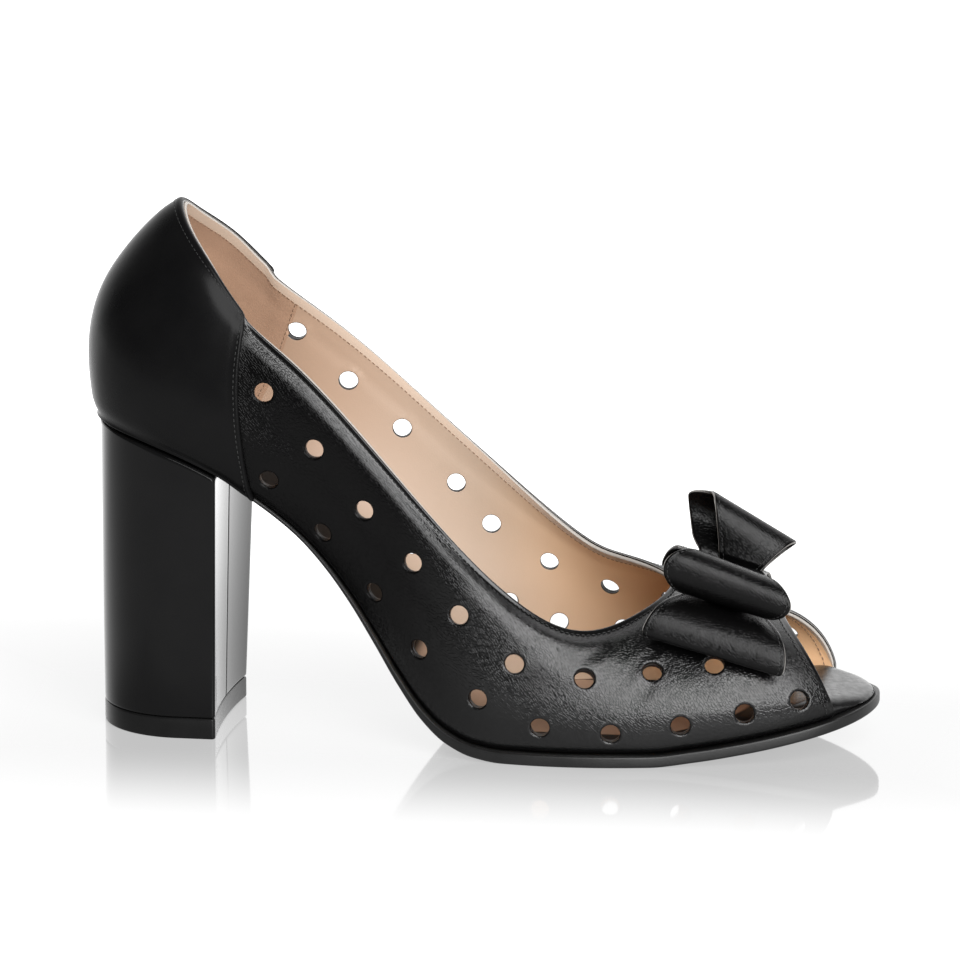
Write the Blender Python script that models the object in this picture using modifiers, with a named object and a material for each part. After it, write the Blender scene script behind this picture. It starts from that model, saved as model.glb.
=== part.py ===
"""Peep-toe court shoe: punched upper, block heel and a doubled leather bow, in metres, +X to the toe."""
import math

import bmesh
import bpy
import numpy as np
from mathutils import Matrix, Vector

NAME = "peep_toe_bow_pump"
MM = 0.001

# Overall sizes in millimetres, x counted from the back of the heel; the centre becomes the origin.
CENTRE_X = 110.0
CENTRE_Y = 0.5
GAP = 0.3
WALL = 1.8

# Sole and insole.
SEAT_THICK = 1.6
FOREPART_THICK = 3.3
SOLE_RIM = 1.0
SEAT_INSET = 1.6
INSOLE_INSET = 2.5
INSOLE_TIP_INSET = 0.4
INSOLE_THICK = 3.0
INSOLE_PAD = 3.2
INSOLE_TIP_THIN = 4.6
INSOLE_EDGE_DROP = 1.8

# Heel block and its wear piece.
HEEL_BACK = 4.2
HEEL_BREAST = 39.7
HEEL_HALF_WIDTH = 23.2
HEEL_ROUND_CENTRE = 28.0
HEEL_DISH = 1.4
HEEL_TOP_GROWTH = 0.6
HEEL_LOFT_TOP = 100.0
# How far the breast leans to the toe and turns to the medial side, at the floor and at the top of the loft.
BREAST_LEAN = (-0.45, 1.1)
BREAST_TURN = (0.45, 1.9)
TOP_PIECE_TALL = 5.8

# Upper.
PEEP_STATION = 13.14
PEEP_HALF_SPAN = 1.31
PEEP_RISE = 0.51
# Front edge of the back panel: its station at the collar and how far it runs forward to the sole.
SEAM_STATION = 2.93
SEAM_LEAN = 0.28
COLLAR_STEP = 1.4
PANEL_THICK = 0.9
HOLE_WIDE = 5.3
HOLE_SIDES = 12

# Underside of the sole along the shoe: x, height.
UNDERSIDE = np.array([
    (-6.0, 87.0), (4.0, 86.0), (14.0, 83.9), (24.0, 80.8), (33.0, 77.1), (41.0, 72.9),
    (48.0, 67.7), (55.0, 62.4), (62.0, 56.4), (69.0, 48.8), (76.0, 39.6), (83.0, 29.0),
    (90.0, 18.2), (97.0, 9.4), (104.0, 3.9), (112.0, 0.9), (120.0, 0.0), (160.0, 0.0),
    (172.0, 1.2), (186.0, 3.4), (200.0, 6.2), (212.0, 9.0), (226.0, 12.6)])

# Ribs of the upper round from the back: lateral side, toe tip, medial side.
# Columns: foot x, foot y, collar x, collar y, collar z, belly, skew.
RIBS = np.array([
    (3.5, 0.0, 27.0, 0.0, 146.6, 10.8, 0.95),
    (9.0, -14.5, 30.4, -10.2, 141.6, 9.6, 0.93),
    (25.0, -22.3, 38.6, -18.8, 131.2, 7.2, 0.9),
    (46.0, -21.8, 48.5, -21.8, 118.0, 5.6, 0.88),
    (60.0, -20.0, 62.0, -25.0, 106.8, 4.6, 0.86),
    (75.0, -20.6, 77.0, -27.7, 92.3, 4.2, 0.84),
    (90.0, -24.8, 92.0, -29.7, 76.0, 4.2, 0.82),
    (107.0, -32.0, 107.0, -31.0, 60.0, 4.6, 0.8),
    (128.0, -36.0, 121.0, -30.6, 46.8, 5.0, 0.78),
    (150.0, -35.2, 134.0, -28.4, 38.0, 5.6, 0.76),
    (172.0, -31.0, 145.0, -23.6, 36.0, 7.2, 0.74),
    (194.0, -26.0, 154.0, -16.4, 38.6, 8.0, 0.71),
    (212.0, -16.0, 160.0, -8.4, 41.6, 8.8, 0.66),
    (218.4, 1.6, 162.0, 0.6, 43.2, 8.7, 0.6),
    (211.6, 17.6, 160.5, 9.2, 43.6, 8.8, 0.52),
    (196.0, 27.6, 155.0, 16.9, 44.3, 7.9, 0.64),
    (176.0, 34.0, 146.0, 23.4, 45.2, 7.0, 0.74),
    (155.0, 37.0, 136.0, 28.2, 47.6, 6.0, 0.76),
    (133.0, 35.6, 122.5, 30.4, 57.0, 5.2, 0.78),
    (112.0, 28.0, 108.0, 31.0, 69.2, 4.8, 0.8),
    (93.0, 19.6, 93.0, 30.0, 82.6, 4.6, 0.82),
    (76.0, 16.0, 78.0, 28.0, 96.6, 4.6, 0.84),
    (60.0, 17.0, 63.0, 25.2, 109.6, 5.0, 0.86),
    (46.0, 20.4, 49.0, 22.0, 121.0, 5.8, 0.88),
    (25.0, 22.3, 38.6, 18.8, 132.4, 7.2, 0.9),
    (9.0, 14.5, 30.4, 10.2, 141.8, 9.6, 0.93)])
RIB_COUNT = len(RIBS)

# Holes of each row from the heel to the toe: station of each, then rise of each.
HOLE_ROWS = {
    "lateral high": ((3.44, 4.44, 5.36, 6.26, 7.08, 7.98, 9.14, 10.34, 11.18),
                     (0.71, 0.66, 0.65, 0.70, 0.67, 0.57, 0.60, 0.61, 0.51)),
    "lateral low": ((3.56, 4.60, 5.56, 6.40, 7.36, 8.20, 9.14, 10.10, 10.92, 11.56),
                    (0.21, 0.20, 0.27, 0.31, 0.28, 0.18, 0.17, 0.19, 0.17, 0.13)),
    "medial high": ((22.56, 21.58, 20.64, 19.70, 19.12, 18.18, 17.15, 15.95, 14.90),
                    (0.79, 0.75, 0.77, 0.76, 0.69, 0.64, 0.635, 0.62, 0.49)),
    "medial low": ((22.44, 21.40, 20.44, 19.66, 18.94, 18.23, 17.27, 16.25, 15.42, 14.62),
                   (0.22, 0.22, 0.29, 0.34, 0.36, 0.305, 0.33, 0.24, 0.20, 0.28))}

# Bow: its place on the vamp ridge, then the sizes of each ribbon.
BOW_X = 177.5
BOW_SLOPE = 15.0
BOW_WALL = 1.2
RIBBONS = {
    "bow_lower": dict(lift=2.65, shift=-0.6, yaw=3.4, reach=33.0, loop=4.4, narrow_toe=0.0, pinch=1.25,
                      half_knot=6.8, half_end=20.0, flare=1.2, droop=9.35, bend=1.95, tilt=0.0,
                      top_swell=3.0, low_swell=1.0, stand=0.0, twist_top=0.0, twist_low=0.0),
    "bow_upper": dict(lift=5.45, shift=0.1, yaw=0.0, reach=28.3, loop=6.1, narrow_toe=0.1, pinch=1.25,
                      half_knot=5.6, half_end=18.2, flare=2.2, droop=-4.5, bend=0.7, tilt=1.0,
                      top_swell=1.0, low_swell=4.0, stand=0.0, twist_top=0.0, twist_low=0.0)}
# What differs in the loops on the medial side: the upper one stands up, its heel edge twisted open.
MEDIAL_LOOPS = {
    "bow_lower": dict(yaw=9.5, half_end=15.6, droop=8.0),
    "bow_upper": dict(reach=22.3, loop=4.6, narrow_toe=0.45, half_end=13.4, flare=1.0, droop=0.0, tilt=3.5,
                      low_swell=1.0, stand=62.0, twist_top=1.0, twist_low=6.3)}
KNOT_HALF = 6.0
# Shares of a loop's length by which it stands at its full angle and is twisted in full.
STAND_SHARE = 0.2
TWIST_SHARE = 0.15
# How soon the twist turns over from one layer of a loop to the other.
TWIST_RISE = 1.4
BAND_HALF = 5.0
BAND_REACH = 8.6
BAND_CORNER = 1.2
BAND_WALL = 0.8

COLOURS = {
    "outsole": (0.02, 0.02, 0.02), "heel_block": (0.025, 0.025, 0.027),
    "heel_top_piece": (0.015, 0.015, 0.015), "insole": (0.03, 0.028, 0.027),
    "upper": (0.022, 0.021, 0.021), "back_panel": (0.022, 0.022, 0.023),
    "bow_lower": (0.022, 0.021, 0.021), "bow_upper": (0.022, 0.021, 0.021), "bow_band": (0.022, 0.021, 0.021)}


def ring_spline(values, where):
    """Closed cubic spline through rows set at whole stations, read at the stations in where."""
    count = len(values)
    one = np.eye(count)
    system = 4.0 * one + np.roll(one, 1, axis=1) + np.roll(one, -1, axis=1)
    turns = 6.0 * (np.roll(values, -1, axis=0) - 2.0 * values + np.roll(values, 1, axis=0))
    bends = np.linalg.solve(system, turns)
    where = np.mod(np.asarray(where, float), count)
    left = np.floor(where).astype(int) % count
    right = (left + 1) % count
    b = (where - np.floor(where))[..., None]
    a = 1.0 - b
    curve = (a ** 3 - a) * bends[left] + (b ** 3 - b) * bends[right]
    return a * values[left] + b * values[right] + curve / 6.0


def profile(table, x):
    """Smooth line through a table of x and height that stays flat where the table is flat."""
    xs, ys = table[:, 0], table[:, 1]
    step = np.diff(xs)
    rise = np.diff(ys) / step
    slopes = np.concatenate(([rise[0]], np.zeros(len(xs) - 2), [rise[-1]]))
    same_way = rise[:-1] * rise[1:] > 0
    weight_a = 2 * step[1:] + step[:-1]
    weight_b = step[1:] + 2 * step[:-1]
    safe_a = np.where(same_way, rise[:-1], 1.0)
    safe_b = np.where(same_way, rise[1:], 1.0)
    mean = (weight_a + weight_b) / (weight_a / safe_a + weight_b / safe_b)
    slopes[1:-1] = np.where(same_way, mean, 0.0)
    x = np.asarray(x, float)
    at = np.clip(np.searchsorted(xs, x, side="right") - 1, 0, len(xs) - 2)
    h = step[at]
    t = (x - xs[at]) / h
    start = (1 + 2 * t) * (1 - t) ** 2 * ys[at] + t * (1 - t) ** 2 * h * slopes[at]
    end = t ** 2 * (3 - 2 * t) * ys[at + 1] + t ** 2 * (t - 1) * h * slopes[at + 1]
    return start + end


def smooth(low, high, x):
    """Rises softly from 0 at low to 1 at high."""
    t = np.clip((np.asarray(x, float) - low) / (high - low), 0.0, 1.0)
    return t * t * (3.0 - 2.0 * t)


def from_back(station):
    """Stations from the back of the heel, counted the short way round."""
    station = np.mod(np.asarray(station, float), RIB_COUNT)
    return np.minimum(station, RIB_COUNT - station)


def underside(x):
    return profile(UNDERSIDE, x)


def sole_top(x):
    return underside(x) + SEAT_THICK + (FOREPART_THICK - SEAT_THICK) * smooth(60.0, 105.0, x)


def outline(station, grow):
    """Plan of the sole at the stations given, grown outward by grow millimetres."""
    station = np.asarray(station, float)
    here = ring_spline(RIBS[:, :2], station)
    ahead = ring_spline(RIBS[:, :2], station + 0.01)
    behind = ring_spline(RIBS[:, :2], station - 0.01)
    along = ahead - behind
    along /= np.linalg.norm(along, axis=-1, keepdims=True)
    out = np.stack((along[..., 1], -along[..., 0]), axis=-1)
    return here + out * np.asarray(grow, float)[..., None]


def upper_point(station, rise):
    """Outer face of the upper, with rise 0 at the sole and 1 at the collar."""
    station = np.asarray(station, float)
    row = ring_spline(RIBS, station)
    foot = np.stack((row[..., 0], row[..., 1], sole_top(row[..., 0]) + GAP), axis=-1)
    collar = row[..., 2:5].copy()
    step = smooth(0.12, -0.12, from_back(station) - SEAM_STATION) * smooth(0.8, 2.6, from_back(station))
    collar[..., 2] += COLLAR_STEP * step
    chord = collar - foot
    chord_way = chord / np.linalg.norm(chord, axis=-1, keepdims=True)
    middle = (foot + collar) / 2.0
    core = np.stack((np.clip(middle[..., 0], 48.0, 172.0), np.full(station.shape, 1.0),
                     sole_top(np.clip(middle[..., 0], 20.0, 200.0)) + 10.0), axis=-1)
    out = middle - core
    out -= chord_way * np.sum(out * chord_way, axis=-1, keepdims=True)
    out /= np.linalg.norm(out, axis=-1, keepdims=True)
    rise = np.asarray(rise, float)
    swell = row[..., 5] * np.sin(np.pi * np.clip(rise, 0.0, 1.0) ** row[..., 6])
    return foot + chord * rise[..., None] + out * swell[..., None]


def upper_normal(station, rise):
    """Outward normal of the upper's outer face."""
    rise = np.clip(rise, 0.002, 0.998)
    round_way = upper_point(station + 0.01, rise) - upper_point(station - 0.01, rise)
    up_way = upper_point(station, rise + 0.002) - upper_point(station, rise - 0.002)
    normal = np.cross(round_way, up_way)
    return normal / np.linalg.norm(normal, axis=-1, keepdims=True)


def peep_rise(station):
    """Where the upper starts at a station: 0 at the sole, higher inside the peep toe."""
    across = np.abs(np.asarray(station, float) - PEEP_STATION) / PEEP_HALF_SPAN
    return PEEP_RISE * np.clip(1.0 - across ** 2.3, 0.0, None) ** 0.85


def upper_stations():
    """Stations for the columns of the upper, closer together at the peep toe."""
    first = PEEP_STATION - PEEP_HALF_SPAN
    last = PEEP_STATION + PEEP_HALF_SPAN
    inside = PEEP_STATION + PEEP_HALF_SPAN * np.sin(np.radians(np.linspace(-90.0, 90.0, 17)))
    lateral = np.linspace(0.0, first, 36, endpoint=False)
    medial = np.linspace(last, RIB_COUNT, 36, endpoint=False)[1:]
    return np.concatenate((lateral, inside, medial))


def placed(points):
    """Millimetres counted from the heel to metres round the middle of the shoe."""
    points = np.array(points, float)
    points[..., 0] -= CENTRE_X
    points[..., 1] -= CENTRE_Y
    return points * MM


def clear_scene():
    for item in list(bpy.data.objects):
        bpy.data.objects.remove(item, do_unlink=True)


def make_collection(name):
    collection = bpy.data.collections.new(name)
    bpy.context.scene.collection.children.link(collection)
    return collection


def make_material(name):
    material = bpy.data.materials.new("mat_" + name)
    material.use_nodes = True
    shader = material.node_tree.nodes["Principled BSDF"]
    shader.inputs["Base Color"].default_value = COLOURS[name] + (1.0,)
    shader.inputs["Roughness"].default_value = 0.4
    return material


def make_object(name, points, faces, collection):
    """Mesh object from points in millimetres and faces, with its normals facing out."""
    mesh = bpy.data.meshes.new(name)
    mesh.from_pydata([tuple(point) for point in placed(points)], [], faces)
    shape = bmesh.new()
    shape.from_mesh(mesh)
    bmesh.ops.recalc_face_normals(shape, faces=shape.faces)
    shape.to_mesh(mesh)
    shape.free()
    item = bpy.data.objects.new(name, mesh)
    collection.objects.link(item)
    if name in COLOURS:
        mesh.materials.append(make_material(name))
    return item


def grid_faces(columns, rows, closed):
    """Four-sided faces of a grid stored column by column."""
    faces = []
    for column in range(columns if closed else columns - 1):
        after = (column + 1) % columns
        for row in range(rows - 1):
            faces.append((column * rows + row, after * rows + row,
                          after * rows + row + 1, column * rows + row + 1))
    return faces


def add_wall(item, thickness, inward):
    wall = item.modifiers.new("wall", "SOLIDIFY")
    wall.thickness = thickness * MM
    wall.offset = -1.0 if inward else 1.0
    wall.use_even_offset = True
    wall.use_rim = True


def add_cut(item, cutter):
    cut = item.modifiers.new("cut", "BOOLEAN")
    cut.operation = "DIFFERENCE"
    cut.solver = "EXACT"
    cut.object = cutter


def make_cutter(item):
    item.hide_render = True
    item.display_type = "WIRE"
    return item


def make_plate(name, collection, grow, low, high, edge_drop):
    """Solid between two heights that depend on x, inside the sole outline grown by grow."""
    half = RIB_COUNT / 2.0
    halves = np.linspace(0.0, half, 41)
    across = (0.0, 0.05, 0.3, 0.7, 0.95, 1.0)
    lateral = outline(halves, grow(halves))
    medial = outline(RIB_COUNT - halves, grow(RIB_COUNT - halves))
    points, index = [], []
    for strip in range(len(halves)):
        at_end = strip in (0, len(halves) - 1)
        row = []
        for share in across:
            if at_end and row:
                row.append(row[0])
                continue
            x, y = lateral[strip] * (1.0 - share) + medial[strip] * share
            at_edge = at_end or share in (0.0, 1.0)
            row.append(len(points))
            points.append((x, y, float(low(x))))
            points.append((x, y, float(high(x)) - (edge_drop if at_edge else 0.0)))
        index.append(row)
    faces = []
    for near, far in zip(index[:-1], index[1:]):
        for a, b, c, d in zip(near[:-1], near[1:], far[1:], far[:-1]):
            ring = list(dict.fromkeys((a, b, c, d)))
            faces.append(tuple(ring))
            faces.append(tuple(corner + 1 for corner in reversed(ring)))
        for side in (0, -1):
            a, b = near[side], far[side]
            faces.append((a, b, b + 1, a + 1))
    return make_object(name, points, faces, collection)


def sole_grow(station):
    """How far the sole stands out past the upper: a rim in front, tucked in over the heel."""
    return -SEAT_INSET + (SOLE_RIM + SEAT_INSET) * smooth(3.2, 6.0, from_back(station))


def insole_grow(station):
    across = np.abs(np.asarray(station, float) - PEEP_STATION) / PEEP_HALF_SPAN
    return -INSOLE_TIP_INSET - (INSOLE_INSET - INSOLE_TIP_INSET) * smooth(0.45, 0.85, across)


def insole_bottom(x):
    return sole_top(x) + GAP


def insole_top(x):
    thick = INSOLE_THICK + INSOLE_PAD * smooth(150.0, 195.0, x) - INSOLE_TIP_THIN * smooth(201.0, 218.0, x)
    return sole_top(x) + GAP + thick


def make_outsole(collection):
    return make_plate("outsole", collection, sole_grow, underside, sole_top, 0.0)


def make_insole(collection):
    return make_plate("insole", collection, insole_grow, insole_bottom, insole_top, INSOLE_EDGE_DROP)


def make_upper(collection, cutters):
    columns = upper_stations()
    shares = np.linspace(0.0, 1.0, 9)
    low = peep_rise(columns)
    stations = np.repeat(columns[:, None], len(shares), axis=1)
    rises = low[:, None] + (1.0 - low[:, None]) * shares[None, :]
    points = upper_point(stations, rises).reshape(-1, 3)
    upper = make_object("upper", points, grid_faces(len(columns), len(shares), True), collection)
    face_out(upper)
    add_wall(upper, WALL, True)
    add_cut(upper, make_punches(cutters))
    return upper


def face_out(item):
    """Turns an open shell so that its faces look away from the middle of the shoe."""
    outward = sum(face.normal.y * face.center.y * face.area for face in item.data.polygons)
    if outward < 0.0:
        item.data.flip_normals()


def hole_places():
    """Stations and rises of the holes."""
    places = []
    for stations, rises in HOLE_ROWS.values():
        places.extend(zip(stations, rises))
    return places


def make_punches(collection):
    """One cutter holding a round punch for every hole, each square to the wall."""
    shape = bmesh.new()
    for station, rise in hole_places():
        spot = np.array([station]), np.array([rise])
        centre = Vector(placed(upper_point(*spot))[0])
        turn = Vector(upper_normal(*spot)[0]).to_track_quat("Z", "Y").to_matrix().to_4x4()
        bmesh.ops.create_cone(shape, cap_ends=True, segments=HOLE_SIDES, radius1=HOLE_WIDE / 2 * MM,
                              radius2=HOLE_WIDE / 2 * MM, depth=9.0 * MM,
                              matrix=Matrix.Translation(centre) @ turn)
    mesh = bpy.data.meshes.new("punches")
    shape.to_mesh(mesh)
    shape.free()
    item = bpy.data.objects.new("punches", mesh)
    collection.objects.link(item)
    return make_cutter(item)


def make_back_panel(collection):
    """Overlay on the back of the upper, drawn from the upper's own face."""
    across = np.linspace(-1.0, 1.0, 25)
    shares = np.linspace(0.015, 0.985, 9)
    stations = across[:, None] * (SEAM_STATION + SEAM_LEAN * (1.0 - shares) ** 2)[None, :]
    rises = np.repeat(shares[None, :], len(across), axis=0)
    points = upper_point(stations, rises) + upper_normal(stations, rises) * GAP
    panel = make_object("back_panel", points.reshape(-1, 3), grid_faces(len(across), len(shares), False),
                        collection)
    face_out(panel)
    add_wall(panel, PANEL_THICK, False)
    return panel


def heel_plan(grow, level):
    """D-shaped plan of the heel at a level from 0 to 1, grown outward: round back, sides, dished breast."""
    half = HEEL_HALF_WIDTH + grow
    depth = HEEL_ROUND_CENTRE - HEEL_BACK + grow
    back = [(HEEL_ROUND_CENTRE - depth * math.cos(angle), half * math.sin(angle))
            for angle in np.radians(np.linspace(-90.0, 90.0, 21))]
    front = HEEL_BREAST + grow + float(np.interp(level, (0.0, 1.0), BREAST_LEAN))
    turn = float(np.interp(level, (0.0, 1.0), BREAST_TURN))
    breast = [(front + turn * y / half - HEEL_DISH * (1.0 - (y / half) ** 2), y)
              for y in np.linspace(half, -half, 11)]
    return back + breast


def make_loft(name, rings, collection):
    """Solid through rings of equal count, closed by flat ends."""
    count = len(rings[0])
    points = [point for ring in rings for point in ring]
    faces = [tuple(range(count)), tuple(range((len(rings) - 1) * count, len(rings) * count))]
    for low in range(len(rings) - 1):
        for at in range(count):
            after = (at + 1) % count
            faces.append((low * count + at, low * count + after,
                          (low + 1) * count + after, (low + 1) * count + at))
    return make_object(name, points, faces, collection)


def make_seat_cutter(collection):
    """Everything above the underside of the sole, less the gap that the heel keeps from it."""
    xs = np.linspace(-8.0, 60.0, 35)
    line = [(x, float(underside(x)) - GAP) for x in xs] + [(60.0, 140.0), (-8.0, 140.0)]
    rings = [[(x, y, z) for x, z in line] for y in (-60.0, 60.0)]
    return make_cutter(make_loft("seat_cutter", rings, collection))


def make_heel(collection, cutters):
    bottom = [(x, y, TOP_PIECE_TALL + GAP) for x, y in heel_plan(0.0, 0.0)]
    top = [(x, y, HEEL_LOFT_TOP) for x, y in heel_plan(HEEL_TOP_GROWTH, 1.0)]
    heel = make_loft("heel_block", [bottom, top], collection)
    add_cut(heel, make_seat_cutter(cutters))
    return heel


def make_top_piece(collection):
    rings = [[(x, y, z) for x, y in heel_plan(0.0, 0.0)] for z in (0.0, TOP_PIECE_TALL)]
    return make_loft("heel_top_piece", rings, collection)


def bow_frame():
    """Middle of the bow on the vamp ridge, with the way along the shoe and the way up from the vamp."""
    rises = np.linspace(PEEP_RISE, 1.0, 200)
    ridge = upper_point(np.full(200, PEEP_STATION), rises)
    spot = ridge[np.argmin(np.abs(ridge[:, 0] - BOW_X))]
    angle = math.radians(BOW_SLOPE)
    along = np.array((math.cos(angle), 0.0, -math.sin(angle)))
    up = np.array((math.sin(angle), 0.0, math.cos(angle)))
    return spot, along, up


def loop_size(name, side):
    """Sizes of a ribbon on the side given, medial when positive."""
    return {**RIBBONS[name], **MEDIAL_LOOPS[name]} if side > 0 else RIBBONS[name]


def half_path(size):
    """Section of one loop from the top of the knot round to its underside: offset to the side and height."""
    loop, pinch = size["loop"], size["pinch"]
    straight = size["reach"] - loop
    sides = np.concatenate(([0.0], np.linspace(KNOT_HALF, straight, 6)[:-1]))
    swell = smooth(KNOT_HALF, straight, sides)
    top = pinch + (loop - pinch) * swell ** size["top_swell"]
    low = pinch + (loop - pinch) * swell ** size["low_swell"]
    turn = [(straight + loop * math.cos(angle), loop * math.sin(angle))
            for angle in np.radians(np.linspace(90.0, -90.0, 9))]
    return list(zip(sides, top)) + turn + list(zip(sides[:0:-1], -low[:0:-1]))


def loop_path(name):
    """Section of a folded ribbon across the shoe, all the way round."""
    medial = half_path(loop_size(name, 1))
    lateral = half_path(loop_size(name, -1))
    return medial + [(0.0, -RIBBONS[name]["pinch"])] + [(-y, z) for y, z in reversed(lateral[1:])]


def ribbon_point(name, side, height, width):
    """Point of a ribbon from its section and from its place across the ribbon, -1 at the heel edge."""
    spot, along, up = bow_frame()
    size = loop_size(name, side)
    out = max(abs(side) - KNOT_HALF, 0.0)
    share = out / (size["reach"] - KNOT_HALF)
    half = size["half_knot"] + (size["half_end"] - size["half_knot"]) * share ** size["flare"]
    thick = height * (1.0 - size["narrow_toe"] * width * share)
    stand = math.radians(size["stand"]) * float(smooth(0.0, STAND_SHARE, share))
    lift = size["lift"] + out * math.sin(stand) + thick * math.cos(stand)
    lift -= size["droop"] * share ** size["bend"] + size["tilt"] * width * share ** 2
    away = side - out * (1.0 - math.cos(stand)) - thick * math.sin(stand)
    turn = size["shift"] - side * math.tan(math.radians(size["yaw"]))
    twist = size["twist_top"] if height > 0.0 else size["twist_low"]
    layer = math.sin(math.pi / 2.0 * min(max(TWIST_RISE * height / size["loop"], -1.0), 1.0))
    turn += twist * layer * float(smooth(0.0, TWIST_SHARE, share)) * (1.0 - width) / 2.0
    return spot + along * (half * width + turn) + up * lift + np.array((0.0, away, 0.0))


def make_ribbon(name, collection):
    """Folded ribbon with a loop on each side, gathered at the middle."""
    path = loop_path(name)
    widths = np.linspace(-1.0, 1.0, 5)
    points = [ribbon_point(name, side, height, width) for side, height in path for width in widths]
    ribbon = make_object(name, np.array(points), grid_faces(len(path), len(widths), True), collection)
    turn_out(ribbon)
    add_wall(ribbon, BOW_WALL, True)
    return ribbon


def turn_out(item):
    """Turns a ring so that its faces look away from its own middle."""
    middle = sum((vertex.co for vertex in item.data.vertices), Vector()) / len(item.data.vertices)
    if sum((face.center - middle).dot(face.normal) * face.area for face in item.data.polygons) < 0.0:
        item.data.flip_normals()


def make_band(collection):
    """Band that gathers both ribbons at the middle of the bow."""
    lower, upper = RIBBONS["bow_lower"], RIBBONS["bow_upper"]
    spot, along, up = bow_frame()
    low = lower["lift"] - lower["pinch"] - GAP
    high = upper["lift"] + upper["pinch"] + GAP + 0.2
    ring = []
    for quarter, sign_a, sign_u in ((0, 1, 1), (1, -1, 1), (2, -1, -1), (3, 1, -1)):
        for angle in np.radians(np.linspace(90.0 * quarter, 90.0 * quarter + 90.0, 4)):
            level = high - BAND_CORNER if sign_u > 0 else low + BAND_CORNER
            ring.append((sign_a * (BAND_REACH - BAND_CORNER) + BAND_CORNER * math.cos(angle),
                         level + BAND_CORNER * math.sin(angle)))
    points = []
    for a, u in ring:
        for side in (-BAND_HALF, BAND_HALF):
            points.append(spot + along * (a + lower["shift"]) + up * u + np.array((0.0, side, 0.0)))
    band = make_object("bow_band", np.array(points), grid_faces(len(ring), 2, True), collection)
    turn_out(band)
    add_wall(band, BAND_WALL, False)
    return band


def build():
    clear_scene()
    parts = make_collection(NAME)
    cutters = make_collection("cutters")
    make_outsole(parts)
    make_heel(parts, cutters)
    make_top_piece(parts)
    make_insole(parts)
    make_upper(parts, cutters)
    make_back_panel(parts)
    make_ribbon("bow_lower", parts)
    make_ribbon("bow_upper", parts)
    make_band(parts)


build()
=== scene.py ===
"""Looks of the peep-toe court shoe: punched black leather, tan lining, wrapped heel, thin sole and bow."""
import math

import bpy
import numpy as np
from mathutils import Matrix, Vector
from mathutils.geometry import delaunay_2d_cdt


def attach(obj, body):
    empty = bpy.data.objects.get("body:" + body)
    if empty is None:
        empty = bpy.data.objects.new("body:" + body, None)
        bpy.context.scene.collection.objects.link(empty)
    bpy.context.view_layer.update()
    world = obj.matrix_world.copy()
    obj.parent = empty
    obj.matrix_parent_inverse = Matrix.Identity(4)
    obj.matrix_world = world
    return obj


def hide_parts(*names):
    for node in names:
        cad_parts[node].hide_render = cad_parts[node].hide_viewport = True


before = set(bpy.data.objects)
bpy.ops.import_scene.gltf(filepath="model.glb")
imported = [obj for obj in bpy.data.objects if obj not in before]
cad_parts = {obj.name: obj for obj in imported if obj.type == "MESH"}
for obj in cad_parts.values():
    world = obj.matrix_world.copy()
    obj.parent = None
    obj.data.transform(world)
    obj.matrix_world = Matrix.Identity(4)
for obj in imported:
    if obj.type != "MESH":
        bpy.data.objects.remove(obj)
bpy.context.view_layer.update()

MM = 0.001
BODY = "root"

# Sizes shared with the part's source, in millimetres, x counted from the back of the heel.
CENTRE_X = 110.0
CENTRE_Y = 0.5
GAP = 0.3
WALL = 1.8
SEAT_THICK = 1.6
FOREPART_THICK = 3.3
SOLE_RIM = 1.0
SEAT_INSET = 1.6
INSOLE_INSET = 2.5
INSOLE_TIP_INSET = 0.4
INSOLE_THICK = 3.0
INSOLE_PAD = 3.2
INSOLE_TIP_THIN = 4.6
HEEL_BACK = 4.2
HEEL_BREAST = 39.7
HEEL_HALF_WIDTH = 23.2
HEEL_ROUND_CENTRE = 28.0
HEEL_DISH = 1.4
HEEL_TOP_GROWTH = 0.6
HEEL_SEAT_LEVEL = 0.75
BREAST_LEAN = (-0.45, 1.1)
BREAST_TURN = (0.45, 1.9)
TOP_PIECE_TALL = 5.8
PEEP_STATION = 13.14
PEEP_HALF_SPAN = 1.31
PEEP_RISE = 0.51
SEAM_STATION = 2.93
SEAM_LEAN = 0.28
COLLAR_STEP = 1.4
PANEL_THICK = 0.9
HOLE_RADIUS = 2.65

# Underside of the sole along the shoe: x, height.
UNDERSIDE = np.array([
    (-6.0, 87.0), (4.0, 86.0), (14.0, 83.9), (24.0, 80.8), (33.0, 77.1), (41.0, 72.9),
    (48.0, 67.7), (55.0, 62.4), (62.0, 56.4), (69.0, 48.8), (76.0, 39.6), (83.0, 29.0),
    (90.0, 18.2), (97.0, 9.4), (104.0, 3.9), (112.0, 0.9), (120.0, 0.0), (160.0, 0.0),
    (172.0, 1.2), (186.0, 3.4), (200.0, 6.2), (212.0, 9.0), (226.0, 12.6)])

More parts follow.
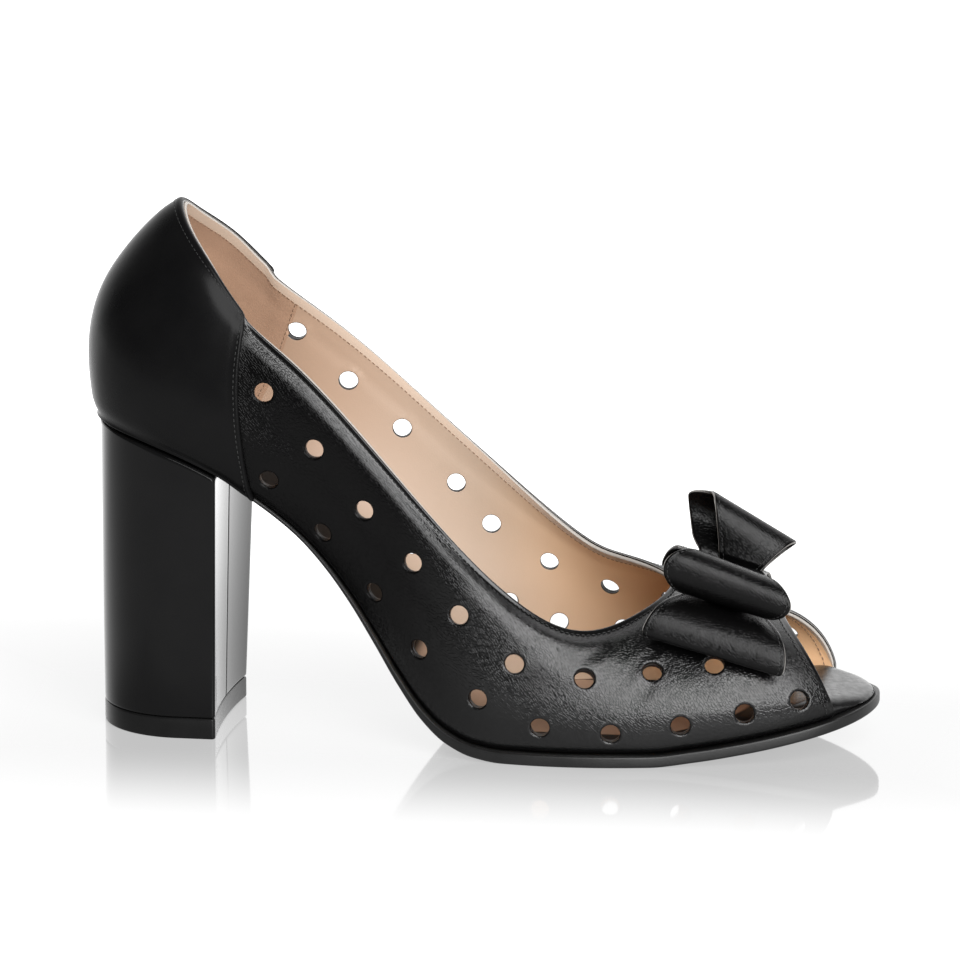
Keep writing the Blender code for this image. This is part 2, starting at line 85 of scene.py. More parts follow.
# Ribs of the upper round from the back: lateral side, toe tip, medial side.
# Columns: foot x, foot y, collar x, collar y, collar z, belly, skew.
RIBS = np.array([
    (3.5, 0.0, 27.0, 0.0, 146.6, 10.8, 0.95),
    (9.0, -14.5, 30.4, -10.2, 141.6, 9.6, 0.93),
    (25.0, -22.3, 38.6, -18.8, 131.2, 7.2, 0.9),
    (46.0, -21.8, 48.5, -21.8, 118.0, 5.6, 0.88),
    (60.0, -20.0, 62.0, -25.0, 106.8, 4.6, 0.86),
    (75.0, -20.6, 77.0, -27.7, 92.3, 4.2, 0.84),
    (90.0, -24.8, 92.0, -29.7, 76.0, 4.2, 0.82),
    (107.0, -32.0, 107.0, -31.0, 60.0, 4.6, 0.8),
    (128.0, -36.0, 121.0, -30.6, 46.8, 5.0, 0.78),
    (150.0, -35.2, 134.0, -28.4, 38.0, 5.6, 0.76),
    (172.0, -31.0, 145.0, -23.6, 36.0, 7.2, 0.74),
    (194.0, -26.0, 154.0, -16.4, 38.6, 8.0, 0.71),
    (212.0, -16.0, 160.0, -8.4, 41.6, 8.8, 0.66),
    (218.4, 1.6, 162.0, 0.6, 43.2, 8.7, 0.6),
    (211.6, 17.6, 160.5, 9.2, 43.6, 8.8, 0.52),
    (196.0, 27.6, 155.0, 16.9, 44.3, 7.9, 0.64),
    (176.0, 34.0, 146.0, 23.4, 45.2, 7.0, 0.74),
    (155.0, 37.0, 136.0, 28.2, 47.6, 6.0, 0.76),
    (133.0, 35.6, 122.5, 30.4, 57.0, 5.2, 0.78),
    (112.0, 28.0, 108.0, 31.0, 69.2, 4.8, 0.8),
    (93.0, 19.6, 93.0, 30.0, 82.6, 4.6, 0.82),
    (76.0, 16.0, 78.0, 28.0, 96.6, 4.6, 0.84),
    (60.0, 17.0, 63.0, 25.2, 109.6, 5.0, 0.86),
    (46.0, 20.4, 49.0, 22.0, 121.0, 5.8, 0.88),
    (25.0, 22.3, 38.6, 18.8, 132.4, 7.2, 0.9),
    (9.0, 14.5, 30.4, 10.2, 141.8, 9.6, 0.93)])
RIB_COUNT = len(RIBS)

# Holes of each row from the heel to the toe: station of each, then rise of each.
HOLE_ROWS = {
    "lateral high": ((3.44, 4.44, 5.36, 6.26, 7.08, 7.98, 9.14, 10.34, 11.18),
                     (0.71, 0.66, 0.65, 0.70, 0.67, 0.57, 0.60, 0.61, 0.51)),
    "lateral low": ((3.56, 4.60, 5.56, 6.40, 7.36, 8.20, 9.14, 10.10, 10.92, 11.56),
                    (0.21, 0.20, 0.27, 0.31, 0.28, 0.18, 0.17, 0.19, 0.17, 0.13)),
    "medial high": ((22.56, 21.58, 20.64, 19.70, 19.12, 18.18, 17.15, 15.95, 14.90),
                    (0.79, 0.75, 0.77, 0.76, 0.69, 0.64, 0.635, 0.62, 0.49)),
    "medial low": ((22.44, 21.40, 20.44, 19.66, 18.94, 18.23, 17.27, 16.25, 15.42, 14.62),
                   (0.22, 0.22, 0.29, 0.34, 0.36, 0.305, 0.33, 0.24, 0.20, 0.28))}

# Bow: its place on the vamp ridge, then the sizes of each ribbon.
BOW_X = 177.5
BOW_SLOPE = 15.0
BOW_WALL = 1.2
RIBBONS = {
    "bow_lower": dict(lift=2.65, shift=-0.6, yaw=3.4, reach=33.0, loop=4.4, narrow_toe=0.0, pinch=1.25,
                      half_knot=6.8, half_end=20.0, flare=1.2, droop=9.35, bend=1.95, tilt=0.0,
                      top_swell=3.0, low_swell=1.0, stand=0.0, twist_top=0.0, twist_low=0.0),
    "bow_upper": dict(lift=5.45, shift=0.1, yaw=0.0, reach=28.3, loop=6.1, narrow_toe=0.1, pinch=1.25,
                      half_knot=5.6, half_end=18.2, flare=2.2, droop=-4.5, bend=0.7, tilt=1.0,
                      top_swell=1.0, low_swell=4.0, stand=0.0, twist_top=0.0, twist_low=0.0)}
# What differs in the loops on the medial side: the upper one stands up, its heel edge twisted open.
MEDIAL_LOOPS = {
    "bow_lower": dict(yaw=9.5, half_end=15.6, droop=8.0),
    "bow_upper": dict(reach=22.3, loop=4.6, narrow_toe=0.45, half_end=13.4, flare=1.0, droop=0.0, tilt=3.5,
                      low_swell=1.0, stand=62.0, twist_top=1.0, twist_low=6.3)}
KNOT_HALF = 6.0
# Shares of a loop's length by which it stands at its full angle and is twisted in full.
STAND_SHARE = 0.2
TWIST_SHARE = 0.15
# How soon the twist turns over from one layer of a loop to the other.
TWIST_RISE = 1.4
BAND_HALF = 5.0
BAND_REACH = 8.6
BAND_CORNER = 1.2
BAND_WALL = 0.8

# Layers of the upper, then the net of points of each: columns down a side and in the peep toe, rows between
# the edges, distances of the closer rows along an edge, of the rings round a hole, and points in a ring.
LEATHER_THICK = 1.15
LINING_OUTSIDE = 1.05
LEATHER_NET = dict(side_count=200, peep_count=49, middle=38, edge=(0.0, 0.12, 0.3, 0.55, 0.9, 1.4, 2.0),
                   rings=(0.0, 0.12, 0.3, 0.6, 1.0), points=36)
LINING_NET = dict(side_count=150, peep_count=37, middle=30, edge=(0.0, 0.15, 0.4, 0.9, 2.0),
                  rings=(0.0, 0.3, 0.9), points=28)
# Space past the outer ring of a hole in which points of the net are left out, and which its patch spans.
POINT_SPACE = 0.4
PATCH_SPACE = 0.6
# Distance given to points that lie near no edge.
NO_EDGE = 99.0
# Length of a rib's face as a share of its chord, taken for the relief and for the seams.
RELIEF_STRETCH = 1.04
SEAM_STRETCH = 1.08
# Length of a station round the back of the upper.
BACK_STATION = 19.0
# Back panel: its height and the radius of its folded edge, then the closer rows along its edges.
PANEL_TALL = 62.0
PANEL_FOLD = 0.55
PANEL_EDGE = (0.0, 0.1, 0.22, 0.4, 0.65, 1.0, 1.5)
# Channels pressed by the seams, and the dip of the leather into a punched hole with how fast it fades.
SEAM_DIP = 0.14
THIN_SEAM_DIP = 0.12
HOLE_DIP = 0.34
HOLE_DIP_FADE = 0.16
# Distance between points that fill the ends of solids.
FILL_SPACING = 4.0
# Heel: radius of its front corners, then the depth and half the width of the seam down its breast.
HEEL_CORNER = 1.0
BREAST_SEAM = 0.3
BREAST_SEAM_HALF = 0.45

# Roll of the leather below its topline: stations from the back, how far it stands out.
ROLL = np.array([(0.0, 0.5), (2.6, 0.9), (3.4, 1.6), (6.0, 1.9), (9.0, 1.7), (11.0, 1.0), (13.0, 0.7)])

# Main creases of the vamp. Columns: station, rise, heading in degrees, length, width, depth.
CREASES = np.array([
    (9.6, 0.80, 28.0, 9.0, 1.5, 0.22),
    (10.1, 0.52, 34.0, 8.0, 1.6, 0.18),
    (10.7, 0.74, 22.0, 8.0, 1.3, 0.22),
    (11.3, 0.36, 48.0, 6.0, 1.4, 0.16),
    (8.6, 0.70, 18.0, 10.0, 1.9, 0.2),
    (7.4, 0.86, 8.0, 12.0, 2.0, 0.2),
    (15.2, 0.70, -24.0, 8.0, 1.4, 0.2),
    (16.3, 0.60, -30.0, 9.0, 1.6, 0.2),
    (17.8, 0.72, -16.0, 10.0, 1.8, 0.2)])

# Stitching: distance between stitches, their length and thickness, then how far each seam lies from its edge.
STITCH_PITCH = 1.5
STITCH_LONG = 1.25
STITCH_THICK = 0.34
TOPLINE_SEAM = 1.9
PEEP_SEAM = 2.5
PANEL_SEAM = 1.4
LINING_SEAM = 3.0
BOW_SEAM = 1.3
GRIP_SEAM = 0.9
# How far the stitches lie above the leather, the lining and the heel grip, and sunk in the panel and ribbons.
LEATHER_LIFT = 0.02
LINING_LIFT = 0.06
GRIP_LIFT = 0.02
PANEL_SINK = 0.06
RIBBON_SINK = 0.1

# Part of the peep toe's rim that is sewn, and the stations and highest rise searched for its seam.
PEEP_SEWN = 0.985
PEEP_STATIONS = (11.2, 15.1)
PEEP_HIGHEST = 0.8

# How far the back panel is drawn down over the seat, as a share of its height.
PANEL_TUCK = 0.02
# Suede heel grip of the lining: station of its front edge at the collar and at the sole.
GRIP_TOP = 3.5
GRIP_FOOT = 2.7

# Photo camera: azimuth and elevation it looks from, its distance and its scale in a frame of 960 pixels.
FRAME_PIXELS = 960
CAMERA_WAY = (8.3, 14.0)
CAMERA_DISTANCE = 2.2
PIXELS_PER_METRE = 3650.0
CAMERA_TARGET = Vector((-0.0010, -0.0005, 0.0704))
SENSOR_WIDTH = 36.0

# Polish of the upper leather: metres along the shoe where it rises, millimetres from an edge where it fades.
VAMP_GLOSS = (-0.022, 0.014)
EDGE_GLOSS = (3.0, 7.0)
# Grain of the upper leather: width of its plates, how far they are drawn out and the way they turn.
GRAIN_SIZE = 0.56
GRAIN_DRAW = 2.5
GRAIN_TURN = 52.0

# Stage: half the floor's width, brightness of the backdrop and of the room in front, and where one turns into
# the other, counted from 0 straight to the side to 1 straight behind.
FLOOR_REACH = 4.0
ROOM_BACK = 1.65
ROOM_FRONT = 0.06
ROOM_TURN = (0.1, 0.75)
# Softbox in front toward the toe: azimuth and elevation it comes from, its distance, width, height and power.
KEY_WAY = (31.0, 27.0)
KEY_DISTANCE = 1.4
KEY_SIZE = (1.05, 1.5)
KEY_POWER = 46.0
# Metres from the shoe's middle over which the floor's polish fades, its glow fades in front and rises behind.
POLISH_LONG = (0.12, 0.19)
POLISH_WIDE = (0.03, 0.11)
GLOW_FADE = (-0.42, -0.26)
GLOW_RISE = (0.08, 0.3)

# Pad of the insole under the ball: its middle, then half its length and width.
PAD_SPOT = (0.029, 0.002)
PAD_HALF = (0.047, 0.0275)
# Metres along the shoe over which the insole turns glossy at its tip.
TIP_GLOSS = (0.070, 0.086)


# Curves and faces of the last

def ring_spline(values, where):
    """Closed cubic spline through rows set at whole stations, read at the stations in where."""
    count = len(values)
    one = np.eye(count)
    system = 4.0 * one + np.roll(one, 1, axis=1) + np.roll(one, -1, axis=1)
    turns = 6.0 * (np.roll(values, -1, axis=0) - 2.0 * values + np.roll(values, 1, axis=0))
    bends = np.linalg.solve(system, turns)
    where = np.mod(np.asarray(where, float), count)
    left = np.floor(where).astype(int) % count
    right = (left + 1) % count
    b = (where - np.floor(where))[..., None]
    a = 1.0 - b
    curve = (a ** 3 - a) * bends[left] + (b ** 3 - b) * bends[right]
    return a * values[left] + b * values[right] + curve / 6.0


def profile(table, x):
    """Smooth line through a table of x and height that stays flat where the table is flat."""
    xs, ys = table[:, 0], table[:, 1]
    step = np.diff(xs)
    rise = np.diff(ys) / step
    slopes = np.concatenate(([rise[0]], np.zeros(len(xs) - 2), [rise[-1]]))
    same_way = rise[:-1] * rise[1:] > 0
    weight_a = 2 * step[1:] + step[:-1]
    weight_b = step[1:] + 2 * step[:-1]
    safe_a = np.where(same_way, rise[:-1], 1.0)
    safe_b = np.where(same_way, rise[1:], 1.0)
    mean = (weight_a + weight_b) / (weight_a / safe_a + weight_b / safe_b)
    slopes[1:-1] = np.where(same_way, mean, 0.0)
    x = np.asarray(x, float)
    at = np.clip(np.searchsorted(xs, x, side="right") - 1, 0, len(xs) - 2)
    h = step[at]
    t = (x - xs[at]) / h
    start = (1 + 2 * t) * (1 - t) ** 2 * ys[at] + t * (1 - t) ** 2 * h * slopes[at]
    end = t ** 2 * (3 - 2 * t) * ys[at + 1] + t ** 2 * (t - 1) * h * slopes[at + 1]
    return start + end


def smooth(low, high, x):
    """Rises softly from 0 at low to 1 at high."""
    t = np.clip((np.asarray(x, float) - low) / (high - low), 0.0, 1.0)
    return t * t * (3.0 - 2.0 * t)


def unit(vectors):
    return vectors / np.linalg.norm(vectors, axis=-1, keepdims=True)


def from_back(station):
    """Stations from the back of the heel, counted the short way round."""
    station = np.mod(np.asarray(station, float), RIB_COUNT)
    return np.minimum(station, RIB_COUNT - station)


def underside(x):
    return profile(UNDERSIDE, x)


def sole_top(x):
    return underside(x) + SEAT_THICK + (FOREPART_THICK - SEAT_THICK) * smooth(60.0, 105.0, x)


def outline(station, grow):
    """Plan of the sole at the stations given, grown outward by grow millimetres."""
    station = np.asarray(station, float)
    here = ring_spline(RIBS[:, :2], station)
    along = unit(ring_spline(RIBS[:, :2], station + 0.01) - ring_spline(RIBS[:, :2], station - 0.01))
    out = np.stack((along[..., 1], -along[..., 0]), axis=-1)
    return here + out * np.broadcast_to(grow, station.shape)[..., None]


def rib(station):
    """Foot, chord to the collar and outward way of the ribs at the stations given, with their table rows."""
    station = np.asarray(station, float)
    row = ring_spline(RIBS, station)
    foot = np.stack((row[..., 0], row[..., 1], sole_top(row[..., 0]) + GAP), axis=-1)
    collar = row[..., 2:5].copy()
    step = smooth(0.12, -0.12, from_back(station) - SEAM_STATION) * smooth(0.8, 2.6, from_back(station))
    collar[..., 2] += COLLAR_STEP * step
    chord = collar - foot
    way = unit(chord)
    middle = (foot + collar) / 2.0
    core = np.stack((np.clip(middle[..., 0], 48.0, 172.0), np.full(station.shape, 1.0),
                     sole_top(np.clip(middle[..., 0], 20.0, 200.0)) + 10.0), axis=-1)
    out = middle - core
    out = unit(out - way * np.sum(out * way, axis=-1, keepdims=True))
    return foot, chord, out, row


def upper_point(station, rise):
    """Face of the last, with rise 0 at the sole and 1 at the collar."""
    foot, chord, out, row = rib(station)
    rise = np.asarray(rise, float)
    swell = row[..., 5] * np.sin(np.pi * np.clip(rise, 0.0, 1.0) ** row[..., 6])
    return foot + chord * rise[..., None] + out * swell[..., None]


def normal_of(face, station, rise):
    """Outward normal of a face that is a function of station and rise."""
    rise = np.clip(rise, 0.002, 0.998)
    round_way = face(station + 0.01, rise) - face(station - 0.01, rise)
    up_way = face(station, rise + 0.002) - face(station, rise - 0.002)
    return unit(np.cross(round_way, up_way))


def peep_rise(station):
    """Where the upper starts at a station: 0 at the sole, higher inside the peep toe."""
    across = np.abs(np.asarray(station, float) - PEEP_STATION) / PEEP_HALF_SPAN
    return PEEP_RISE * np.clip(1.0 - across ** 2.3, 0.0, None) ** 0.85


def crease_relief(station, rise, tall):
    """Soft troughs with a ridge on each side, at the creases of the table."""
    total = np.zeros(np.shape(station))
    for at, level, heading, length, width, depth in CREASES:
        spot = np.array([at]), np.array([level])
        per_station = np.linalg.norm(upper_point(spot[0] + 0.05, spot[1]) - upper_point(*spot)) / 0.05
        east = (station - at) * per_station
        north = (rise - level) * tall
        turn = math.radians(heading)
        along = (east * math.cos(turn) + north * math.sin(turn)) / length
        across = (north * math.cos(turn) - east * math.sin(turn)) / width
        shape = np.exp(-across ** 2) - 0.5 * np.exp(-(np.abs(across) - 1.7) ** 2)
        total -= depth * shape * np.exp(-along ** 2)
    return total


def relief(station, rise):
    """How far the worked leather stands off the last: rolled topline, tucked feather edge and creases."""
    tall = np.linalg.norm(rib(station)[1], axis=-1) * RELIEF_STRETCH
    down = (1.0 - rise) * tall
    roll = np.interp(from_back(station), ROLL[:, 0], ROLL[:, 1])
    roll = roll * smooth(1.0, 6.5, down) * (1.0 - smooth(7.0, 24.0, down))
    tuck = -0.8 * (1.0 - smooth(0.0, 3.2, rise * tall))
    return roll + tuck + crease_relief(station, rise, tall)


def skin(station, rise):
    """Outer face of the leather."""
    base = upper_point(station, rise)
    return base + normal_of(upper_point, station, rise) * relief(station, rise)[..., None]


def channel(distance, middle, width, depth):
    """Depth of a soft channel at a distance from an edge."""
    return depth * np.exp(-((distance - middle) / width) ** 2)


def placed(points):
    """Millimetres counted from the heel to metres round the middle of the shoe."""
    points = np.array(points, float)
    points[..., 0] -= CENTRE_X
    points[..., 1] -= CENTRE_Y
    return points * MM


def round_over(distance, radius):
    """Drop of a rounded edge at a distance from it."""
    inside = np.clip(1.0 - np.asarray(distance, float) / radius, 0.0, 1.0)
    return radius * (1.0 - np.sqrt(1.0 - inside ** 2))


# Meshes

def grid_faces(columns, rows, closed):
    """Four-sided faces of a grid stored column by column."""
    faces = []
    for column in range(columns if closed else columns - 1):
        after = (column + 1) % columns
        for row in range(rows - 1):
            faces.append((column * rows + row, after * rows + row,
                          after * rows + row + 1, column * rows + row + 1))
    return faces


def closed_shell(outer, inner, faces):
    """Points and faces of the solid between two layers that share one net of faces."""
    count = len(outer)
    ways = {(a, b) for face in faces for a, b in zip(face, face[1:] + face[:1])}
    walls = [(b, a, a + count, b + count) for a, b in sorted(ways) if (b, a) not in ways]
    back = [tuple(corner + count for corner in reversed(face)) for face in faces]
    return np.concatenate((outer, inner)), list(faces) + back + walls


def make_mesh(name, points, faces, values):
    """Smooth mesh in metres without the points that no face uses, with values kept as attributes."""
    used = np.unique(np.concatenate([np.array(face) for face in faces]))
    place = np.full(len(points), -1)
    place[used] = np.arange(len(used))
    mesh = bpy.data.meshes.new(name)
    mesh.from_pydata(placed(points)[used].tolist(), [], [tuple(place[list(face)]) for face in faces])
    for key, numbers in values.items():
        layer = mesh.attributes.new(key, "FLOAT", "POINT")
        layer.data.foreach_set("value", np.asarray(numbers, np.float32)[used])
    mesh.shade_smooth()
    return mesh


def add_piece(name, mesh, material, nodes=()):
    """Object on the shoe's body, with its finish, that stands for the nodes given."""
    item = bpy.data.objects.new(name, mesh)
    bpy.context.scene.collection.objects.link(item)
    mesh.materials.clear()
    mesh.materials.append(material)
    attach(item, BODY)
    for node in nodes:
        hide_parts(node)


def add_shell(name, outer, inner, faces, values, material, nodes=()):
    """Piece between two layers that share one net of faces and the same values."""
    points, faces = closed_shell(outer, inner, faces)
    mesh = make_mesh(name, points, faces, {key: np.tile(numbers, 2) for key, numbers in values.items()})
    add_piece(name, mesh, material, nodes)


def hole_plane(station, rise):
    """Centre of a hole on the skin and two ways in the plane that touches the skin there."""
    spot = np.array([station]), np.array([rise])
    normal = normal_of(skin, *spot)[0]
    east = unit((skin(spot[0] + 0.01, spot[1]) - skin(spot[0] - 0.01, spot[1]))[0])
    east = unit(east - normal * (east @ normal))
    return skin(*spot)[0], np.stack((east, np.cross(normal, east)))


def flat_rings(rings, points):
    """Rings round a hole in its plane, each turned by half a step from the one inside it."""
    flat = []
    for index, step in enumerate(rings):
        angles = (np.arange(points) + 0.5 * (index % 2)) * math.tau / points
        radius = HOLE_RADIUS + step
        flat.append(np.stack((radius * np.cos(angles), radius * np.sin(angles)), axis=1))
    return np.concatenate(flat)


def settle(centre, axes, station, rise, flat):
    """Stations and rises of points given in the plane that touches the skin at a hole."""
    at = np.full(len(flat), station)
    level = np.full(len(flat), rise)
    slopes = []
    for step_s, step_r in ((0.02, 0.0), (0.0, 0.004)):
        ahead = skin(np.array([station + step_s]), np.array([rise + step_r]))
        behind = skin(np.array([station - step_s]), np.array([rise - step_r]))
        slopes.append((ahead - behind)[0] @ axes.T / (2 * (step_s + step_r)))
    back = np.linalg.inv(np.stack(slopes, axis=1))
    for _ in range(8):
        move = (flat - (skin(at, level) - centre) @ axes.T) @ back.T
        at = at + move[:, 0]
        level = level + move[:, 1]
    return at, level


class Net:
    """Points over the upper by station and rise, closer together along the edges, with open holes."""

    def __init__(self, columns, middle, edge):
        self.columns = columns
        self.rows = middle + 2 * len(edge)
        start = peep_rise(columns)[:, None]
        rises = start + (1.0 - start) * np.linspace(0.0, 1.0, 161)
        lines = upper_point(np.repeat(columns[:, None], rises.shape[1], axis=1), rises)
        runs = np.linalg.norm(np.diff(lines, axis=1), axis=2).cumsum(axis=1)
        runs = np.concatenate((np.zeros((len(columns), 1)), runs), axis=1)
        low = [edge_run(run[-1], edge, middle) for run in runs]
        self.station = np.repeat(columns, self.rows)
        self.rise = np.concatenate([np.interp(*row) for row in zip(low, runs, rises)])
        self.low = np.where(peep_rise(self.station) > 0.0, np.concatenate(low), NO_EDGE)
        self.top = np.concatenate([run[-1] - at for at, run in zip(low, runs)])
        self.hole = np.full(len(self.station), NO_EDGE)
        self.cells = {(face[0] // self.rows, face[0] % self.rows): face
                      for face in grid_faces(len(columns), self.rows, True)}
        self.patches = []
        self.grid = skin(self.station, self.rise)

    def punch(self, station, rise, rings, points):
        """Opens a hole: the cells round it give way to rings of points that keep its edge."""
        centre, axes = hole_plane(station, rise)
        reach = HOLE_RADIUS + rings[-1]
        distance = np.linalg.norm(self.grid - centre, axis=1).reshape(len(self.columns), self.rows)
        near = distance < reach + PATCH_SPACE
        wide = np.where(near.any(axis=1))[0]
        tall = np.where(near.any(axis=0))[0]
        left, right = wide.min() - 1, wide.max() + 1
        low, high = max(tall.min() - 1, 0), min(tall.max() + 1, self.rows - 1)
        loop = [(c, low) for c in range(left, right)] + [(right, r) for r in range(low, high)]
        loop += [(c, high) for c in range(right, left, -1)] + [(left, r) for r in range(high, low, -1)]
        inside = [(c, r) for c in range(left + 1, right) for r in range(low + 1, high)
                  if distance[c, r] > reach + POINT_SPACE]
        kept = [c * self.rows + r for c, r in loop + inside]
        rings_flat = flat_rings(rings, points)
        names = kept + [len(self.station) + k for k in range(len(rings_flat))]
        self.add(*settle(centre, axes, station, rise, rings_flat), np.repeat(rings, points))
        flat = np.concatenate(((self.grid[kept] - centre) @ axes.T, rings_flat))
        self.fill(flat, names, len(loop), range(len(kept), len(kept) + points))
        for column in range(left, right):
            for row in range(low, high):
                del self.cells[(column, row)]

    def add(self, station, rise, hole):
        """Adds points round a hole, away from every other edge."""
        far = np.full(len(station), NO_EDGE)
        self.station = np.concatenate((self.station, station))
        self.rise = np.concatenate((self.rise, rise))
        self.low = np.concatenate((self.low, far))
        self.top = np.concatenate((self.top, far))
        self.hole = np.concatenate((self.hole, hole))

    def fill(self, flat, names, loop_count, mouth):
        """Triangles between the loop of the net, which comes first in flat, and the mouth of a hole."""
        rim = list(zip(mouth, [*mouth[1:], mouth[0]]))
        result = delaunay_2d_cdt([Vector(point) for point in flat], rim, [list(range(loop_count))], 1, 1e-7)
        for face in result[2]:
            corners = [result[3][corner][0] for corner in face]
            if not set(mouth).issuperset(corners):
                self.patches.append(tuple(names[corner] for corner in corners))

    def faces(self):
        return list(self.cells.values()) + self.patches


def upper_columns(side_count, peep_count):
    """Stations for the columns of the upper, closer together at the peep toe."""
    first = PEEP_STATION - PEEP_HALF_SPAN
    last = PEEP_STATION + PEEP_HALF_SPAN
    turn = np.radians(np.linspace(-90.0, 90.0, peep_count))
    inside = PEEP_STATION + PEEP_HALF_SPAN * np.sin(turn)
    lateral = np.linspace(0.0, first, side_count, endpoint=False)
    medial = np.linspace(last, RIB_COUNT, side_count, endpoint=False)[1:]
    return np.concatenate((lateral, inside, medial))


def punched_net(side_count, peep_count, middle, edge, rings, points):
    net = Net(upper_columns(side_count, peep_count), middle, edge)
    for stations, rises in HOLE_ROWS.values():
        for station, rise in zip(stations, rises):
            net.punch(station, rise, rings, points)
    return net


def make_leather(material):
    """Leather of the upper: one shell with every hole open and every edge rounded."""
    net = punched_net(**LEATHER_NET)
    face = skin(net.station, net.rise)
    normal = normal_of(skin, net.station, net.rise)
    edge = np.maximum(round_over(net.top, LEATHER_THICK / 2.0), round_over(net.low, LEATHER_THICK / 2.0))
    rim = HOLE_DIP * np.exp(-net.hole / HOLE_DIP_FADE) - channel(net.hole, 0.6, 0.25, 0.05)
    seam = channel(net.top, TOPLINE_SEAM, 0.45, SEAM_DIP) + channel(net.low, PEEP_SEAM, 0.5, SEAM_DIP)
    outer = face - normal * (edge + rim + seam)[:, None]
    inner = face - normal * (LEATHER_THICK - edge)[:, None]
    values = {"edge": np.minimum(net.top, net.low)}
    add_shell("upper_leather", outer, inner, net.faces(), values, material, ["upper"])


def make_lining(material):
    """Lining inside the leather, with a thicker band along the topline and a soft hollow below it."""
    net = punched_net(**LINING_NET)
    outer = skin(net.station, net.rise) - normal_of(skin, net.station, net.rise) * LINING_OUTSIDE
    normal = normal_of(upper_point, net.station, net.rise)
    band = 0.16 * (1.0 - smooth(2.5, 3.2, net.top))
    hollow = channel(net.top, 8.5, 2.4, 0.2)
    inner = upper_point(net.station, net.rise) - normal * (WALL + band - hollow)[:, None]
    values = {"rim": np.minimum(net.top, net.low), "back": from_back(net.station),
              "rise": net.rise, "hole": net.hole}
    add_shell("upper_lining", outer, inner, net.faces(), values, material)


def seam_station(rise):
    """Station of the back panel's front edge at a rise."""
    return SEAM_STATION + SEAM_LEAN * (1.0 - rise) ** 2


def panel_face(station, rise):
    """Outer face of the back panel away from its edges."""
    return skin(station, rise) + normal_of(skin, station, rise) * (GAP + PANEL_THICK)


def edge_run(length, edge, middle):
    """Distances across a strip, closer together along both edges."""
    edge = np.array(edge)
    inside = np.linspace(edge[-1], length - edge[-1], middle + 2)[1:-1]
    return np.concatenate((edge, inside, length - edge[::-1]))


def make_back_panel(material):
    """Counter laid over the back of the upper, its edges folded in."""
    across = edge_run(2.0 * SEAM_STATION * BACK_STATION, PANEL_EDGE, 74)
    along = edge_run(PANEL_TALL, PANEL_EDGE, 36)
    rises = np.tile(along / PANEL_TALL * (1.0 + PANEL_TUCK) - PANEL_TUCK, len(across))
    stations = np.repeat(across / (BACK_STATION * SEAM_STATION) - 1.0, len(along)) * seam_station(rises)
    side = np.repeat(np.minimum(across, across[::-1]), len(along))
    top = np.tile(PANEL_TALL - along, len(across))
    foot = np.tile(along, len(across))
    edge = np.maximum(round_over(side, PANEL_FOLD), round_over(foot, PANEL_FOLD))
    edge = np.maximum(edge, round_over(top, PANEL_THICK + GAP))
    seam = channel(side, PANEL_SEAM, 0.4, THIN_SEAM_DIP) + channel(top, TOPLINE_SEAM, 0.4, THIN_SEAM_DIP)
    lip = channel(side, 0.75, 0.4, 0.14)
    normal = normal_of(skin, stations, rises)
    face = skin(stations, rises)
    outer = face + normal * (GAP + PANEL_THICK - edge - seam + lip)[:, None]
    inner = face + normal * (0.02 - 0.3 * round_over(top, 1.0))[:, None]
    faces = grid_faces(len(across), len(along), False)
    add_shell("counter_panel", outer, inner, faces, {}, material, ["back_panel"])


def inside_loop(points, loop):
    """Which points lie inside a closed loop, all in plan."""
    x, y = points[:, :1], points[:, 1:2]
    x0, y0 = loop[:, 0], loop[:, 1]
    x1, y1 = np.roll(x0, -1), np.roll(y0, -1)
    spans = (y0 <= y) != (y1 <= y)
    slope = np.where(y1 == y0, 1.0, y1 - y0)
    crossing = x0 + (y - y0) * (x1 - x0) / slope
    return (np.sum(spans & (x < crossing), axis=1) % 2) == 1


def cap_faces(loop, spacing):
    """Points inside a loop in plan and the triangles that fill it, in the order of loop then points."""
    low, high = loop.min(axis=0), loop.max(axis=0)
    xs = np.arange(low[0] + spacing / 2, high[0], spacing)
    ys = np.arange(low[1] + spacing / 2, high[1], spacing)
    grid = np.stack(np.meshgrid(xs, ys), axis=-1).reshape(-1, 2)
    gap = np.min(np.linalg.norm(grid[:, None, :] - loop[None, :, :], axis=2), axis=1)
    grid = grid[inside_loop(grid, loop) & (gap > spacing * 0.5)]
    everything = [Vector(point) for point in np.concatenate((loop, grid))]
    result = delaunay_2d_cdt(everything, [], [list(range(len(loop)))], 1, 1e-7)
    return grid, [tuple(result[3][corner][0] for corner in face) for face in result[2]]


def add_solid(name, rings, low, high, material, node):
    """Piece through rings counted upward, its ends filled on the heights given as functions of x."""
    rows, count = len(rings), len(rings[0])
    points = [np.stack(rings, axis=1).reshape(-1, 3)]
    faces = grid_faces(count, rows, True)
    total = rows * count
    for row, height, upward in ((0, low, False), (rows - 1, high, True)):
        grid, fill = cap_faces(rings[row][:, :2], FILL_SPACING)
        names = [column * rows + row for column in range(count)] + list(range(total, total + len(grid)))
        points.append(np.column_stack((grid, height(grid[:, 0]))))
        total += len(grid)
        for face in fill:
            corners = tuple(names[corner] for corner in face)
            faces.append(corners if upward else corners[::-1])
    add_piece(name, make_mesh(name, np.concatenate(points), faces, {}), material, [node])


def plate_rings(grow, steps):
    """Rings round the sole outline, one for each step: inset, height function and how far below it."""
    stations = np.linspace(0.0, RIB_COUNT, 420, endpoint=False)
    rings = []
    for inset, height, drop in steps:
        plan = outline(stations, grow(stations) - inset)
        rings.append(np.column_stack((plan, height(plan[:, 0]) + drop)))
    return rings


